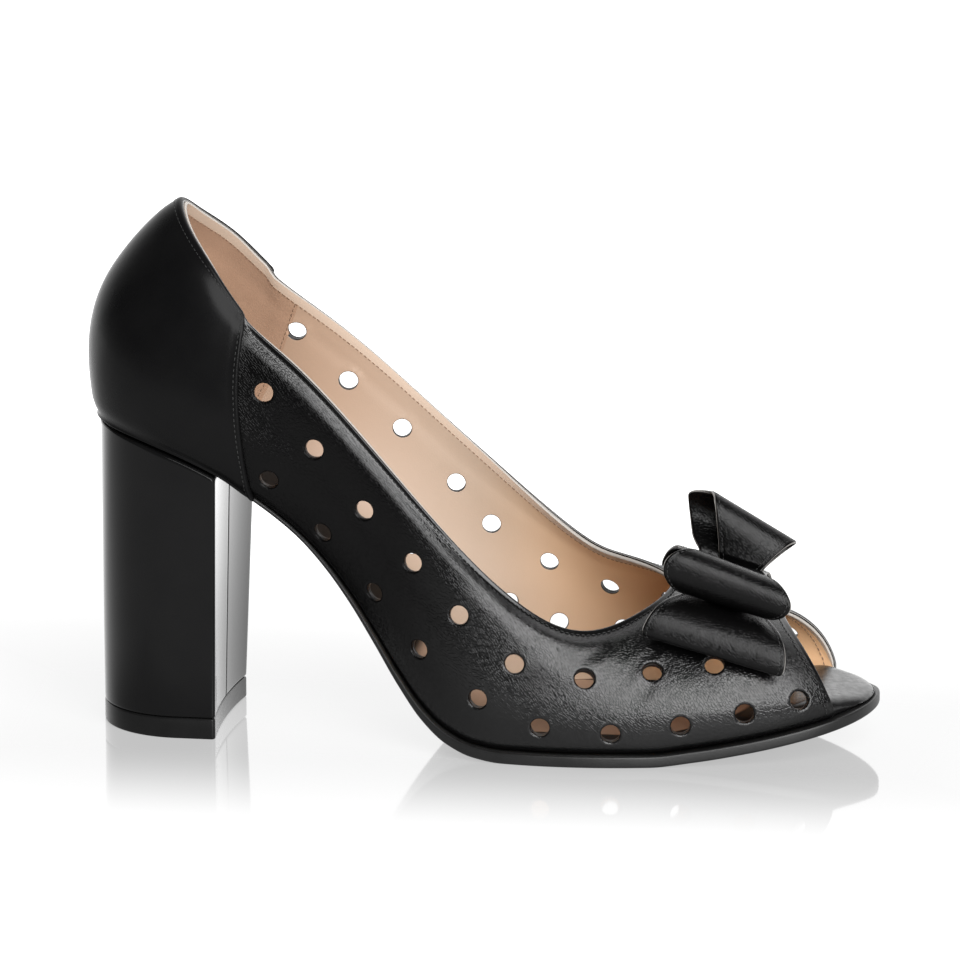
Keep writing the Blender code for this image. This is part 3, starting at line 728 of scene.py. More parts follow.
def sole_grow(station):
    """How far the sole stands out past the upper: a rim in front, tucked in over the heel."""
    return -SEAT_INSET + (SOLE_RIM + SEAT_INSET) * smooth(3.2, 6.0, from_back(station))


def insole_grow(station):
    across = np.abs(np.asarray(station, float) - PEEP_STATION) / PEEP_HALF_SPAN
    return -INSOLE_TIP_INSET - (INSOLE_INSET - INSOLE_TIP_INSET) * smooth(0.45, 0.85, across)


def insole_bottom(x):
    return sole_top(x) + GAP


def insole_top(x):
    thick = INSOLE_THICK + INSOLE_PAD * smooth(150.0, 195.0, x) - INSOLE_TIP_THIN * smooth(201.0, 218.0, x)
    return sole_top(x) + GAP + thick


def make_outsole(material):
    """Thin sole with a trimmed edge, its upper corner crisp and its lower one worn round."""
    steps = [(5.0, underside, 0.0), (1.6, underside, 0.0), (0.8, underside, 0.06), (0.35, underside, 0.2),
             (0.1, underside, 0.45), (0.0, underside, 0.8), (0.0, sole_top, -0.55), (0.06, sole_top, -0.3),
             (0.2, sole_top, -0.1), (0.45, sole_top, 0.0), (1.2, sole_top, 0.0), (4.0, sole_top, 0.0)]
    rings = plate_rings(sole_grow, steps)
    add_solid("outsole_leather", rings, underside, sole_top, material, "outsole")


def make_insole(material):
    """Padded insole under black leather, its edge turned down."""
    steps = [(4.0, insole_bottom, 0.0), (0.5, insole_bottom, 0.0), (0.1, insole_bottom, 0.15),
             (0.0, insole_bottom, 0.5), (0.05, insole_top, -1.7), (0.3, insole_top, -1.15),
             (0.8, insole_top, -0.7), (1.5, insole_top, -0.35), (2.6, insole_top, -0.1),
             (4.5, insole_top, 0.0)]
    rings = plate_rings(insole_grow, steps)
    add_solid("insole_cover", rings, insole_bottom, insole_top, material, "insole")


def heel_plan(grow, groove, level):
    """Plan of the heel at a level, counter-clockwise: round back, sides, softened corners, dished breast."""
    half = HEEL_HALF_WIDTH + grow
    depth = HEEL_ROUND_CENTRE - HEEL_BACK + grow
    front = HEEL_BREAST + grow
    corner = HEEL_CORNER
    turn = np.radians(np.linspace(90.0, -90.0, 81))
    back = np.column_stack((HEEL_ROUND_CENTRE - depth * np.cos(turn), half * np.sin(turn)))
    run = np.linspace(HEEL_ROUND_CENTRE, front - corner, 9)[1:]
    side = np.column_stack((run, np.full(len(run), -half)))
    bend = np.radians(np.linspace(0.0, 80.0, 7)[1:])
    round_corner = np.column_stack((front - corner + corner * np.sin(bend),
                                    -half + corner - corner * np.cos(bend)))
    seam = np.array((-0.7, -0.4, -0.2, 0.0, 0.2, 0.4, 0.7))
    wide = np.linspace(-half + corner * 1.3, half - corner * 1.3, 44)
    across = np.sort(np.concatenate((wide[np.abs(wide) > 1.0], seam)))
    dish = HEEL_DISH * (1.0 - (across / (half - corner)) ** 2)
    pressed = groove * np.clip(1.0 - np.abs(across) / BREAST_SEAM_HALF, 0.0, 1.0)
    breast = np.column_stack((front - dish - pressed, across))
    far_corner = round_corner[::-1] * (1.0, -1.0)
    far_side = side[::-1] * (1.0, -1.0)
    plan = np.concatenate((back, side, round_corner, breast, far_corner, far_side[:-1]))
    ahead = np.clip((plan[:, 0] - HEEL_ROUND_CENTRE) / (front - HEEL_ROUND_CENTRE), 0.0, 1.0)
    lean = np.interp(level, (0.0, 1.0), BREAST_LEAN)
    turned = np.interp(level, (0.0, 1.0), BREAST_TURN) * plan[:, 1] / half
    plan[:, 0] += ahead * (lean + turned)
    return plan


def heel_seat(x):
    return underside(x) - GAP


def flat_at(height):
    """Level height as a function of x."""
    return lambda x: np.full(len(x), height)


def heel_ring(height, grow, groove, level):
    """Ring round the heel on a height that is a function of x."""
    plan = heel_plan(grow, groove, level)
    return np.column_stack((plan, height(plan[:, 0])))


def make_heel(material):
    """Heel block wrapped in leather that meets in a seam down the middle of the breast."""
    bottom = TOP_PIECE_TALL + GAP
    rings = [heel_ring(flat_at(bottom + above), -inset, BREAST_SEAM, 0.0)
             for above, inset in ((0.0, 0.4), (0.1, 0.16), (0.3, 0.04), (0.7, 0.0))]
    for share in np.linspace(0.03, 0.985, 26):
        level = HEEL_SEAT_LEVEL * share
        rings.append(heel_ring(lambda x: bottom + (heel_seat(x) - bottom) * share,
                               HEEL_TOP_GROWTH * level, BREAST_SEAM, level))
    for below, inset in ((0.7, 0.0), (0.3, 0.05), (0.1, 0.2), (0.0, 0.5)):
        rings.append(heel_ring(lambda x: heel_seat(x) - below, HEEL_TOP_GROWTH * HEEL_SEAT_LEVEL - inset,
                               BREAST_SEAM, HEEL_SEAT_LEVEL))
    add_solid("heel_wrap", rings, flat_at(bottom), heel_seat, material, "heel_block")


def make_top_piece(material):
    """Wear piece under the heel, its lower edge scuffed round."""
    steps = ((0.0, 0.5), (0.08, 0.2), (0.25, 0.04), (0.6, 0.0), (3.0, 0.0), (5.3, 0.0), (5.6, 0.06),
             (TOP_PIECE_TALL, 0.3))
    rings = [heel_ring(flat_at(height), -inset, 0.0, 0.0) for height, inset in steps]
    add_solid("heel_wear_piece", rings, flat_at(0.0), flat_at(TOP_PIECE_TALL), material,
              "heel_top_piece")


# Bow

def bow_frame():
    """Middle of the bow on the vamp ridge, with the way along the shoe and the way up from the vamp."""
    rises = np.linspace(PEEP_RISE, 1.0, 200)
    ridge = upper_point(np.full(200, PEEP_STATION), rises)
    spot = ridge[np.argmin(np.abs(ridge[:, 0] - BOW_X))]
    angle = math.radians(BOW_SLOPE)
    along = np.array((math.cos(angle), 0.0, -math.sin(angle)))
    up = np.array((math.sin(angle), 0.0, math.cos(angle)))
    return spot, along, up


def loop_size(name, side):
    """Sizes of a ribbon on the side given, medial when positive."""
    return {**RIBBONS[name], **MEDIAL_LOOPS[name]} if side > 0 else RIBBONS[name]


def half_path(size):
    """Section of one loop from the top of the knot round to its underside: offset to the side and height."""
    loop, pinch = size["loop"], size["pinch"]
    straight = size["reach"] - loop
    sides = np.concatenate((np.linspace(0.0, KNOT_HALF, 7)[:-1], np.linspace(KNOT_HALF, straight, 34)[:-1]))
    swell = smooth(KNOT_HALF, straight, sides)
    top = pinch + (loop - pinch) * swell ** size["top_swell"]
    low = pinch + (loop - pinch) * swell ** size["low_swell"]
    turn = np.radians(np.linspace(90.0, -90.0, 33))
    bend = np.column_stack((straight + loop * np.cos(turn), loop * np.sin(turn)))
    outward = np.column_stack((sides, top))
    inward = np.column_stack((sides, -low))
    return np.concatenate((outward, bend, inward[:0:-1]))


def loop_path(name):
    """Section of a folded ribbon across the shoe, all the way round."""
    medial = half_path(loop_size(name, 1))
    lateral = half_path(loop_size(name, -1))
    bottom = np.array([(0.0, -RIBBONS[name]["pinch"])])
    return np.concatenate((medial, bottom, lateral[:0:-1] * (-1.0, 1.0)))


def ribbon_points(name, path, width):
    """Points of a ribbon at a place across it, -1 at the heel edge and 1 at the toe edge."""
    spot, along, up = bow_frame()
    points = []
    for side, height in path:
        size = loop_size(name, side)
        out = max(abs(side) - KNOT_HALF, 0.0)
        share = out / (size["reach"] - KNOT_HALF)
        half = size["half_knot"] + (size["half_end"] - size["half_knot"]) * share ** size["flare"]
        thick = height * (1.0 - size["narrow_toe"] * width * share)
        stand = math.radians(size["stand"]) * float(smooth(0.0, STAND_SHARE, share))
        lift = size["lift"] + out * math.sin(stand) + thick * math.cos(stand)
        lift -= size["droop"] * share ** size["bend"] + size["tilt"] * width * share ** 2
        away = side - out * (1.0 - math.cos(stand)) - thick * math.sin(stand)
        turn = size["shift"] - side * math.tan(math.radians(size["yaw"]))
        twist = size["twist_top"] if height > 0.0 else size["twist_low"]
        layer = math.sin(math.pi / 2.0 * min(max(TWIST_RISE * height / size["loop"], -1.0), 1.0))
        turn += twist * layer * float(smooth(0.0, TWIST_SHARE, share)) * (1.0 - width) / 2.0
        points.append(spot + along * (half * width + turn) + up * lift + np.array((0.0, away, 0.0)))
    return np.array(points)


def outward_normals(grid):
    """Normals of a grid that is closed along its first axis, turned away from its middle."""
    along = np.roll(grid, -1, axis=0) - np.roll(grid, 1, axis=0)
    normal = unit(np.cross(np.gradient(grid, axis=1), along))
    if np.sum((grid - grid.mean(axis=(0, 1))) * normal) < 0.0:
        return -normal
    return normal


def add_strip(name, grid, normal, outside, inside, edge, material, node):
    """Closed strip of the bow between two distances along the normals of a grid, its faces turned outward."""
    outer = (grid + normal * outside[..., None]).reshape(-1, 3)
    inner = (grid + normal * inside[..., None]).reshape(-1, 3)
    faces = grid_faces(*grid.shape[:2], True)
    first, second, _, last = outer[list(faces[0])]
    if np.cross(second - first, last - first) @ normal[0, 0] < 0.0:
        faces = [face[::-1] for face in faces]
    add_shell(name, outer, inner, faces, {"edge": edge.ravel()}, material, [node])


def ribbon_grid(name):
    """Outer face of a ribbon with gathers at the knot, its normals and its distance from the nearer edge."""
    path = loop_path(name)
    edges = np.array((0.0, 0.012, 0.03, 0.055, 0.09, 0.14))
    widths = np.concatenate((edges, np.linspace(0.14, 1.86, 25)[1:-1], 2.0 - edges[::-1])) - 1.0
    grid = np.stack([ribbon_points(name, path, width) for width in widths], axis=1)
    normal = outward_normals(grid)
    half = np.linalg.norm(grid[:, -1] - grid[:, 0], axis=1)[:, None] / 2.0
    edge = (1.0 - np.abs(widths))[None, :] * half
    gather = channel(np.abs(path[:, :1]), KNOT_HALF, 6.0, 0.12) * np.cos(widths * 3.5 * math.pi)[None, :]
    return grid - normal * np.abs(gather)[..., None], normal, edge


def make_ribbon(name, material, piece):
    """Folded ribbon of leather with rounded edges and a channel along its stitching."""
    grid, normal, edge = ribbon_grid(name)
    drop = round_over(edge, BOW_WALL / 2.0)
    seam = channel(edge, BOW_SEAM, 0.4, THIN_SEAM_DIP)
    add_strip(piece, grid, normal, -(drop + seam), drop - BOW_WALL, edge, material, name)


def band_ring(low, high):
    """Section of the band between two levels with rounded corners, at even steps all the way round."""
    corners = []
    for quarter, sign_a, sign_u in ((0, 1, 1), (1, -1, 1), (2, -1, -1), (3, 1, -1)):
        level = high - BAND_CORNER if sign_u > 0 else low + BAND_CORNER
        angles = np.radians(np.linspace(90.0 * quarter, 90.0 * quarter + 90.0, 9))
        corners.append(np.column_stack((sign_a * (BAND_REACH - BAND_CORNER) + BAND_CORNER * np.cos(angles),
                                        level + BAND_CORNER * np.sin(angles))))
    ring = np.concatenate((*corners, corners[0][:1]))
    run = np.concatenate(([0.0], np.linalg.norm(np.diff(ring, axis=0), axis=1).cumsum()))
    at = np.linspace(0.0, run[-1], 120, endpoint=False)
    return np.column_stack((np.interp(at, run, ring[:, 0]), np.interp(at, run, ring[:, 1])))


def make_band(material):
    """Pleated band that gathers both ribbons at the middle of the bow."""
    lower, upper = RIBBONS["bow_lower"], RIBBONS["bow_upper"]
    spot, along, up = bow_frame()
    ring = band_ring(lower["lift"] - lower["pinch"] - GAP, upper["lift"] + upper["pinch"] + GAP + 0.2)
    across = edge_run(2.0 * BAND_HALF, (0.0, 0.1, 0.25, 0.5), 14) - BAND_HALF
    plane = along * (ring[:, :1] + lower["shift"]) + up * ring[:, 1:]
    grid = spot + plane[:, None, :] + np.array((0.0, 1.0, 0.0)) * across[None, :, None]
    edge = np.broadcast_to(BAND_HALF - np.abs(across), grid.shape[:2])
    outside = BAND_WALL - round_over(edge, BAND_WALL * 0.6) + 0.12 * np.cos(across * 2.1)
    add_strip("bow_knot_band", grid, outward_normals(grid), outside, np.zeros(grid.shape[:2]), edge, material,
              "bow_band")


# Stitching

def stitch_tree():
    """Node tree that lays a stitch at every pitch along the edges of a mesh, upright on its face."""
    tree = bpy.data.node_groups.new("stitch_row", "GeometryNodeTree")
    kinds = {"Rows": "Geometry", "Pitch": "Float", "Length": "Float", "Thickness": "Float",
             "Thread": "Material"}
    for label, kind in kinds.items():
        tree.interface.new_socket(label, in_out="INPUT", socket_type="NodeSocket" + kind)
    tree.interface.new_socket("Stitches", in_out="OUTPUT", socket_type="NodeSocketGeometry")
    nodes = Nodes(tree)
    entry = {label: nodes.node("NodeGroupInput", output=label) for label in kinds}
    curve = nodes.node("GeometryNodeMeshToCurve", None, {"Mesh": entry["Rows"]})
    spaced = nodes.node("GeometryNodeResampleCurve", {"mode": "LENGTH"},
                        {"Curve": curve, "Length": entry["Pitch"]})
    bead = nodes.node("GeometryNodeMeshUVSphere", None, {"Segments": 6, "Rings": 4, "Radius": 0.5})
    tangent = nodes.node("GeometryNodeInputTangent")
    upright = nodes.node("GeometryNodeInputNamedAttribute", {"data_type": "FLOAT_VECTOR"}, {"Name": "up"},
                         "Attribute")
    lead = nodes.node("FunctionNodeAlignRotationToVector", {"axis": "X"}, {"Vector": tangent})
    stand = nodes.node("FunctionNodeAlignRotationToVector", {"axis": "Z", "pivot_axis": "X"},
                       {"Rotation": lead, "Vector": upright})
    size = nodes.node("ShaderNodeCombineXYZ", None,
                      {"X": entry["Length"], "Y": entry["Thickness"], "Z": entry["Thickness"]})
    laid = nodes.node("GeometryNodeInstanceOnPoints", None,
                      {"Points": spaced, "Instance": bead, "Rotation": stand, "Scale": size})
    real = nodes.node("GeometryNodeRealizeInstances", None, {"Geometry": laid})
    dyed = nodes.node("GeometryNodeSetMaterial", None, {"Geometry": real, "Material": entry["Thread"]})
    nodes.feed(tree.nodes.new("NodeGroupOutput").inputs["Stitches"], dyed)
    return tree


def sew(name, tree, rows, thread):
    """Stitches along rows of points, each row with the normals of the face it lies on."""
    points, edges, ups = [], [], []
    for line, normals in rows:
        first = len(points)
        points.extend(placed(line).tolist())
        edges.extend((first + k, first + k + 1) for k in range(len(line) - 1))
        ups.extend(normals.tolist())
    mesh = bpy.data.meshes.new(name + "_rows")
    mesh.from_pydata(points, edges, [])
    layer = mesh.attributes.new("up", "FLOAT_VECTOR", "POINT")
    layer.data.foreach_set("vector", np.array(ups, np.float32).ravel())
    guide = bpy.data.objects.new(name + "_rows", mesh)
    bpy.context.scene.collection.objects.link(guide)
    work = guide.modifiers.new("stitches", "NODES")
    work.node_group = tree
    sizes = {"Pitch": STITCH_PITCH * MM, "Length": STITCH_LONG * MM, "Thickness": STITCH_THICK * MM,
             "Thread": thread}
    for item in tree.interface.items_tree:
        if item.in_out == "INPUT" and item.name in sizes:
            work[item.identifier] = sizes[item.name]
    depsgraph = bpy.context.evaluated_depsgraph_get()
    sewn = bpy.data.meshes.new_from_object(guide.evaluated_get(depsgraph))
    sewn.name = name
    sewn.shade_smooth()
    bpy.data.objects.remove(guide, do_unlink=True)
    add_piece(name, sewn, thread)


def row_on(face, stations, rises, lift):
    """Row of points on a face of the upper, raised a little, with its normals."""
    normals = normal_of(face, stations, rises)
    return face(stations, rises) + normals * lift, normals


def rise_below_collar(stations, down):
    """Rise at a distance down from the collar."""
    return 1.0 - down / (np.linalg.norm(rib(stations)[1], axis=-1) * SEAM_STRETCH)


def peep_row(inward):
    """Stations and rises of a line that runs along the peep toe's rim at a distance from it."""
    turn = np.radians(np.linspace(-90.0, 90.0, 160))
    stations = PEEP_STATION + PEEP_HALF_SPAN * PEEP_SEWN * np.sin(turn)
    rises = peep_rise(stations)
    rim = upper_point(stations, rises)
    along = unit(np.gradient(rim, axis=0))
    target = rim + np.cross(normal_of(upper_point, stations, rises), along) * inward
    near = np.meshgrid(np.linspace(*PEEP_STATIONS, 240), np.linspace(0.0, PEEP_HIGHEST, 200), indexing="ij")
    face = upper_point(*near).reshape(-1, 3)
    pick = np.array([np.argmin(np.sum((face - spot) ** 2, axis=1)) for spot in target])
    return near[0].ravel()[pick], near[1].ravel()[pick]


def outside_rows():
    """Black stitching of the topline, the peep toe and the edges of the back panel."""
    front = np.linspace(SEAM_STATION + 0.05, RIB_COUNT - SEAM_STATION - 0.05, 420)
    rows = [row_on(skin, front, rise_below_collar(front, TOPLINE_SEAM), LEATHER_LIFT)]
    back = np.linspace(-SEAM_STATION + 0.08, SEAM_STATION - 0.08, 130)
    rows.append(row_on(panel_face, back, rise_below_collar(back, TOPLINE_SEAM), -PANEL_SINK))
    levels = np.linspace(0.02, 0.965, 90)
    for sign in (-1.0, 1.0):
        edge = sign * (seam_station(levels) - PANEL_SEAM / BACK_STATION)
        rows.append(row_on(panel_face, edge, levels, -PANEL_SINK))
    rows.append(row_on(skin, *peep_row(PEEP_SEAM), 0.0))
    return rows


def lining_face(station, rise):
    return upper_point(station, rise) - normal_of(upper_point, station, rise) * WALL


def lining_rows():
    """Stitching of the lining below the topline, round the peep toe and along the heel grip."""
    round_way = np.linspace(0.0, RIB_COUNT, 600)
    rows = [row_on(lining_face, round_way, rise_below_collar(round_way, LINING_SEAM), -LINING_LIFT)]
    rows.append(row_on(lining_face, *peep_row(LINING_SEAM), -LINING_LIFT))
    levels = np.linspace(0.05, 0.93, 70)
    for sign in (-1.0, 1.0):
        edge = sign * (GRIP_FOOT + (GRIP_TOP - GRIP_FOOT) * levels - GRIP_SEAM / BACK_STATION)
        rows.append(row_on(lining_face, edge, levels, -GRIP_LIFT))
    return [(line, -normals) for line, normals in rows]


def bow_rows():
    """Stitching along both edges of both ribbons."""
    rows = []
    for name in RIBBONS:
        grid, normal, edge = ribbon_grid(name)
        for order in (slice(None), slice(None, None, -1)):
            line, ups = [], []
            for points, normals, gaps in zip(grid[:, order], normal[:, order], edge[:, order]):
                half = len(gaps) // 2
                at = np.interp(BOW_SEAM, gaps[:half], np.arange(half))
                low, share = int(at), at - int(at)
                line.append(points[low] * (1.0 - share) + points[low + 1] * share)
                ups.append(normals[low])
            line.append(line[0])
            ups.append(ups[0])
            rows.append((np.array(line) - np.array(ups) * RIBBON_SINK, np.array(ups)))
    return rows


# Materials

class Output:
    """Output of a node, which takes Python's operators and adds their Math nodes."""

    def __init__(self, nodes, socket):
        self.nodes = nodes
        self.socket = socket

    def join(self, operation, first, second):
        return self.nodes.node("ShaderNodeMath", {"operation": operation}, {0: first, 1: second})

    def __add__(self, other):
        return self.join("ADD", self, other)

    def __sub__(self, other):
        return self.join("SUBTRACT", self, other)

    def __rsub__(self, other):
        return self.join("SUBTRACT", other, self)

    def __mul__(self, other):
        return self.join("MULTIPLY", self, other)

    def __truediv__(self, other):
        return self.join("DIVIDE", self, other)

    def __pow__(self, other):
        return self.join("POWER", self, other)

    def __abs__(self):
        return self.nodes.node("ShaderNodeMath", {"operation": "ABSOLUTE"}, {0: self})

    __radd__ = __add__
    __rmul__ = __mul__


class Nodes:
    """Node tree that grows by one node at a time."""

    def __init__(self, tree):
        self.tree = tree

    def node(self, kind, settings=None, inputs=None, output=0):
        """Adds a node with its settings, then its socket values and links, and gives one output."""
        item = self.tree.nodes.new(kind)
        for key, value in (settings or {}).items():
            setattr(item, key, value)
        for key, value in (inputs or {}).items():
            self.feed(item.inputs[key], value)
        return Output(self, item.outputs[output])

    def feed(self, socket, value):
        if isinstance(value, Output):
            self.tree.links.new(value.socket, socket)
        else:
            socket.default_value = value

    def ramp(self, value, low, high, **ends):
        """0 below low and 1 above high, or the ends given, soft between."""
        return self.node("ShaderNodeMapRange", {"interpolation_type": "SMOOTHSTEP"},
                         {"Value": value, "From Min": low, "From Max": high, **named(ends)})

    def axis(self, letter, vector):
        return self.node("ShaderNodeSeparateXYZ", None, {"Vector": vector}, letter)


def named(values):
    """Values by socket name, where a keyword has an underscore for each space."""
    return {key.replace("_", " "): value for key, value in values.items()}


class Paint(Nodes):
    """Node tree of one material round its Principled shader."""

    def __init__(self, name, **constants):
        self.material = bpy.data.materials.new(name)
        self.material.use_nodes = True
        super().__init__(self.material.node_tree)
        self.shader = self.tree.nodes["Principled BSDF"]
        self.finish = Output(self, self.shader.outputs["BSDF"])
        self.set(named(constants))
        self.place = self.node("ShaderNodeTexCoord", output="Object")

    def set(self, values):
        for key, value in values.items():
            self.feed(self.shader.inputs[key], value)

    def blend(self, share, first, second):
        """Makes the surface a mix of two shaders."""
        mixed = self.node("ShaderNodeMixShader", None, {0: share, 1: first, 2: second})
        self.feed(self.tree.nodes["Material Output"].inputs["Surface"], mixed)

    def stretched(self, turn, along):
        """Object coordinates turned about the Y axis, then drawn out along their new X axis."""
        return self.node("ShaderNodeMapping", {"vector_type": "TEXTURE"}, {
            "Vector": self.place, "Rotation": (0.0, math.radians(turn), 0.0), "Scale": (along, 1.0, 1.0)})

    def noise(self, size, detail=2.0, roughness=0.5, vector=None):
        """Soft random field from 0 to 1 with lumps of about a size in millimetres."""
        inputs = {"Vector": vector or self.place, "Scale": 1.0 / (size * MM), "Detail": detail,
                  "Roughness": roughness}
        return self.node("ShaderNodeTexNoise", None, inputs, "Fac")

    def cells(self, size, vector):
        """Distance from the edges of cells of about a size in millimetres."""
        return self.node("ShaderNodeTexVoronoi", {"feature": "DISTANCE_TO_EDGE"},
                         {"Vector": vector, "Scale": 1.0 / (size * MM)}, "Distance")

    def value(self, name):
        return self.node("ShaderNodeAttribute", {"attribute_name": name}, None, "Fac")

    def mix(self, share, first, second):
        """Colour between two colours."""
        return self.node("ShaderNodeMix", {"data_type": "RGBA"}, {0: share, 6: first, 7: second}, 2)

    def bump(self, height, depth):
        return self.node("ShaderNodeBump", None, {"Height": height, "Distance": depth * MM, "Strength": 1.0})


def colour(red, green, blue):
    return (red, green, blue, 1.0)


def grey(level):
    return colour(level, level, level)


def grained_leather(name, ior, dull, depth, fold, pale):
    """Black leather with a fine creased grain drawn out down the vamp, its edges folded smooth and pale,
    partly the colour of the cut and partly a painted highlight along the edge.

    It is polished over the vamp and along its edges, and duller on the walls behind.
    """
    paint = Paint(name, IOR=ior)
    pulled = paint.stretched(GRAIN_TURN, GRAIN_DRAW)
    drift = paint.noise(9.0, 3.0)
    plates = paint.ramp(paint.cells(GRAIN_SIZE, pulled), 0.0, 0.22)
    creases = paint.noise(GRAIN_SIZE, 2.0, 0.5, pulled)
    lumps = paint.noise(2.6, 2.0)
    edge = paint.value("edge")
    grain = (plates * 0.6 + creases * 0.7) * (paint.ramp(edge, fold * 0.8, fold) * 0.85 + 0.15)
    black = paint.mix(drift, colour(0.0012, 0.0012, 0.0013), colour(0.0022, 0.0021, 0.0021))
    # Pale band along the edges: partly the colour of the cut leather, partly a painted highlight along the
    # edge.
    cut = 1.0 - paint.ramp(edge, 0.02, pale)
    looks = {"Base Color": paint.mix(cut, black, colour(0.20, 0.19, 0.18)),
             "Roughness": 0.18 + (drift - 0.5) * 0.08 + (1.0 - plates) * 0.05,
             "Normal": paint.bump(grain + lumps * 0.3, depth)}
    paint.set(looks)
    wall = paint.node("ShaderNodeBsdfPrincipled", None, {**looks, "IOR": dull})
    behind = 1.0 - paint.ramp(paint.axis("X", paint.place), *VAMP_GLOSS)
    paint.blend(1.0 - behind * paint.ramp(edge, *EDGE_GLOSS), wall, paint.finish)
    return paint.material


def smooth_leather(name, rough, depth, **finish):
    """Black leather polished smooth, with faint pores and a drift in its gloss."""
    paint = Paint(name, **finish)
    drift = paint.noise(11.0, 3.0)
    pores = paint.noise(0.3, 3.0, 0.6)
    lumps = paint.noise(3.2, 2.0)
    shade = paint.mix(drift, colour(0.0030, 0.0030, 0.0032), colour(0.0055, 0.0054, 0.0055))
    paint.set({"Base Color": shade, "Roughness": rough + (drift - 0.5) * 0.08,
               "Normal": paint.bump(pores * 0.4 + lumps, depth)})
    return paint.material


def insole_leather():
    """Black insole cover, glossy at the tip and dull inside, with a tan pad under the ball."""
    paint = Paint("insole_leather", IOR=1.12, Coat_IOR=1.6, Coat_Roughness=0.26)
    pores = paint.noise(0.3, 3.0, 0.6)
    lumps = paint.noise(3.2, 2.0)
    drift = paint.noise(11.0, 3.0)
    along = paint.axis("X", paint.place)
    aside = paint.axis("Y", paint.place)
    reach = ((along - PAD_SPOT[0]) / PAD_HALF[0]) ** 4.0 + ((aside - PAD_SPOT[1]) / PAD_HALF[1]) ** 4.0
    pad = 1.0 - paint.ramp(reach, 0.9, 1.1)
    black = paint.mix(drift, colour(0.0020, 0.0020, 0.0022), colour(0.0040, 0.0039, 0.0040))
    tan = paint.mix(drift, colour(0.39, 0.27, 0.195), colour(0.43, 0.305, 0.225))
    mottle = paint.ramp(paint.noise(2.0, 3.0, 0.6), 0.3, 0.7)
    paint.set({"Base Color": paint.mix(pad, black, tan), "Roughness": 0.5 + drift * 0.1,
               "Coat Weight": paint.ramp(along, *TIP_GLOSS) * (mottle * 0.3 + 0.7),
               "Normal": paint.bump(pores * 0.4 + lumps, 0.05)})
    return paint.material


def sole_edge():
    """Inked and burnished leather of the sole, with a drift in its shade and gloss."""
    paint = Paint("sole_ink", IOR=1.38)
    grain = paint.noise(0.7, 3.0)
    wear = paint.noise(6.0, 4.0)
    paint.set({"Base Color": paint.mix(wear, grey(0.005), grey(0.011)), "Roughness": 0.34 + wear * 0.12,
               "Normal": paint.bump(grain, 0.03)})
    return paint.material


def wear_rubber():
    """Black rubber, finely pitted under a thin gloss."""
    paint = Paint("wear_rubber", IOR=1.15, Coat_IOR=1.15, Coat_Weight=1.0, Coat_Roughness=0.14)
    pits = paint.noise(0.4, 4.0, 0.65)
    cloud = paint.noise(7.0, 3.0)
    paint.set({"Base Color": paint.mix(cloud, grey(0.005), grey(0.010)), "Roughness": 0.34 + cloud * 0.1,
               "Normal": paint.bump(pits, 0.02)})
    return paint.material


def tan_lining():
    """Smooth tan lining leather with a napped heel grip and a pale cut edge, the walls of its punched holes
    painted dark as shade, and painted bounce light that turns it lighter and more orange towards the toe.
    """
    paint = Paint("tan_lining", IOR=1.45)
    pores = paint.noise(0.35, 3.0, 0.6)
    cloud = paint.noise(14.0, 4.0)
    rim, back, level = paint.value("rim"), paint.value("back"), paint.value("rise")
    tan = paint.mix(cloud, colour(0.365, 0.269, 0.197), colour(0.404, 0.303, 0.229))
    warm = paint.mix(paint.ramp(back, 3.5, 7.0), colour(0.37, 0.248, 0.172), tan)
    # Painted light: towards the toe the lining is painted lighter and more orange, standing in for light
    # bounced inside the toe.
    painted_toe_bounce = paint.mix(paint.ramp(back, 6.5, 10.0), warm, colour(0.80, 0.50, 0.28))
    band = paint.mix(1.0 - paint.ramp(rim, 2.7, 3.1), painted_toe_bounce, colour(0.49, 0.375, 0.29))
    cut = paint.mix(1.0 - paint.ramp(rim, 0.02, 0.2), band, colour(0.36, 0.33, 0.30))
    # Painted shade: the walls of the punched holes are painted near black.
    shade = paint.mix(1.0 - paint.ramp(paint.value("hole"), 0.02, 0.2), cut, colour(0.012, 0.010, 0.009))
    paint.set({"Base Color": shade, "Roughness": 0.40 + cloud * 0.12,
               "Normal": paint.bump(pores * 0.6 + cloud * 0.8, 0.05)})
    nap = paint.noise(0.5, 5.0, 0.75)
    brushed = paint.noise(5.0, 3.0)
    fuzz = paint.mix(nap * 0.6 + brushed * 0.4, colour(0.255, 0.152, 0.096), colour(0.405, 0.255, 0.172))
    suede = paint.node("ShaderNodeBsdfPrincipled", None, {
        "Base Color": fuzz, "Roughness": 0.95, "Specular IOR Level": 0.2, "Normal": paint.bump(nap, 0.12)})
    front = back - level * (GRIP_TOP - GRIP_FOOT) - GRIP_FOOT
    grip = (1.0 - paint.ramp(front, -0.006, 0.006)) * paint.ramp(rim, 3.0, 3.15)
    paint.blend(grip, paint.finish, suede)
    return paint.material


def thread(name, dark, light):
    """Twisted thread."""
    paint = Paint(name, IOR=1.45)
    twist = paint.noise(0.18, 2.0)
    paint.set({"Base Color": paint.mix(twist, dark, light), "Roughness": 0.5 + twist * 0.2,
               "Normal": paint.bump(twist, 0.03)})
    return paint.material


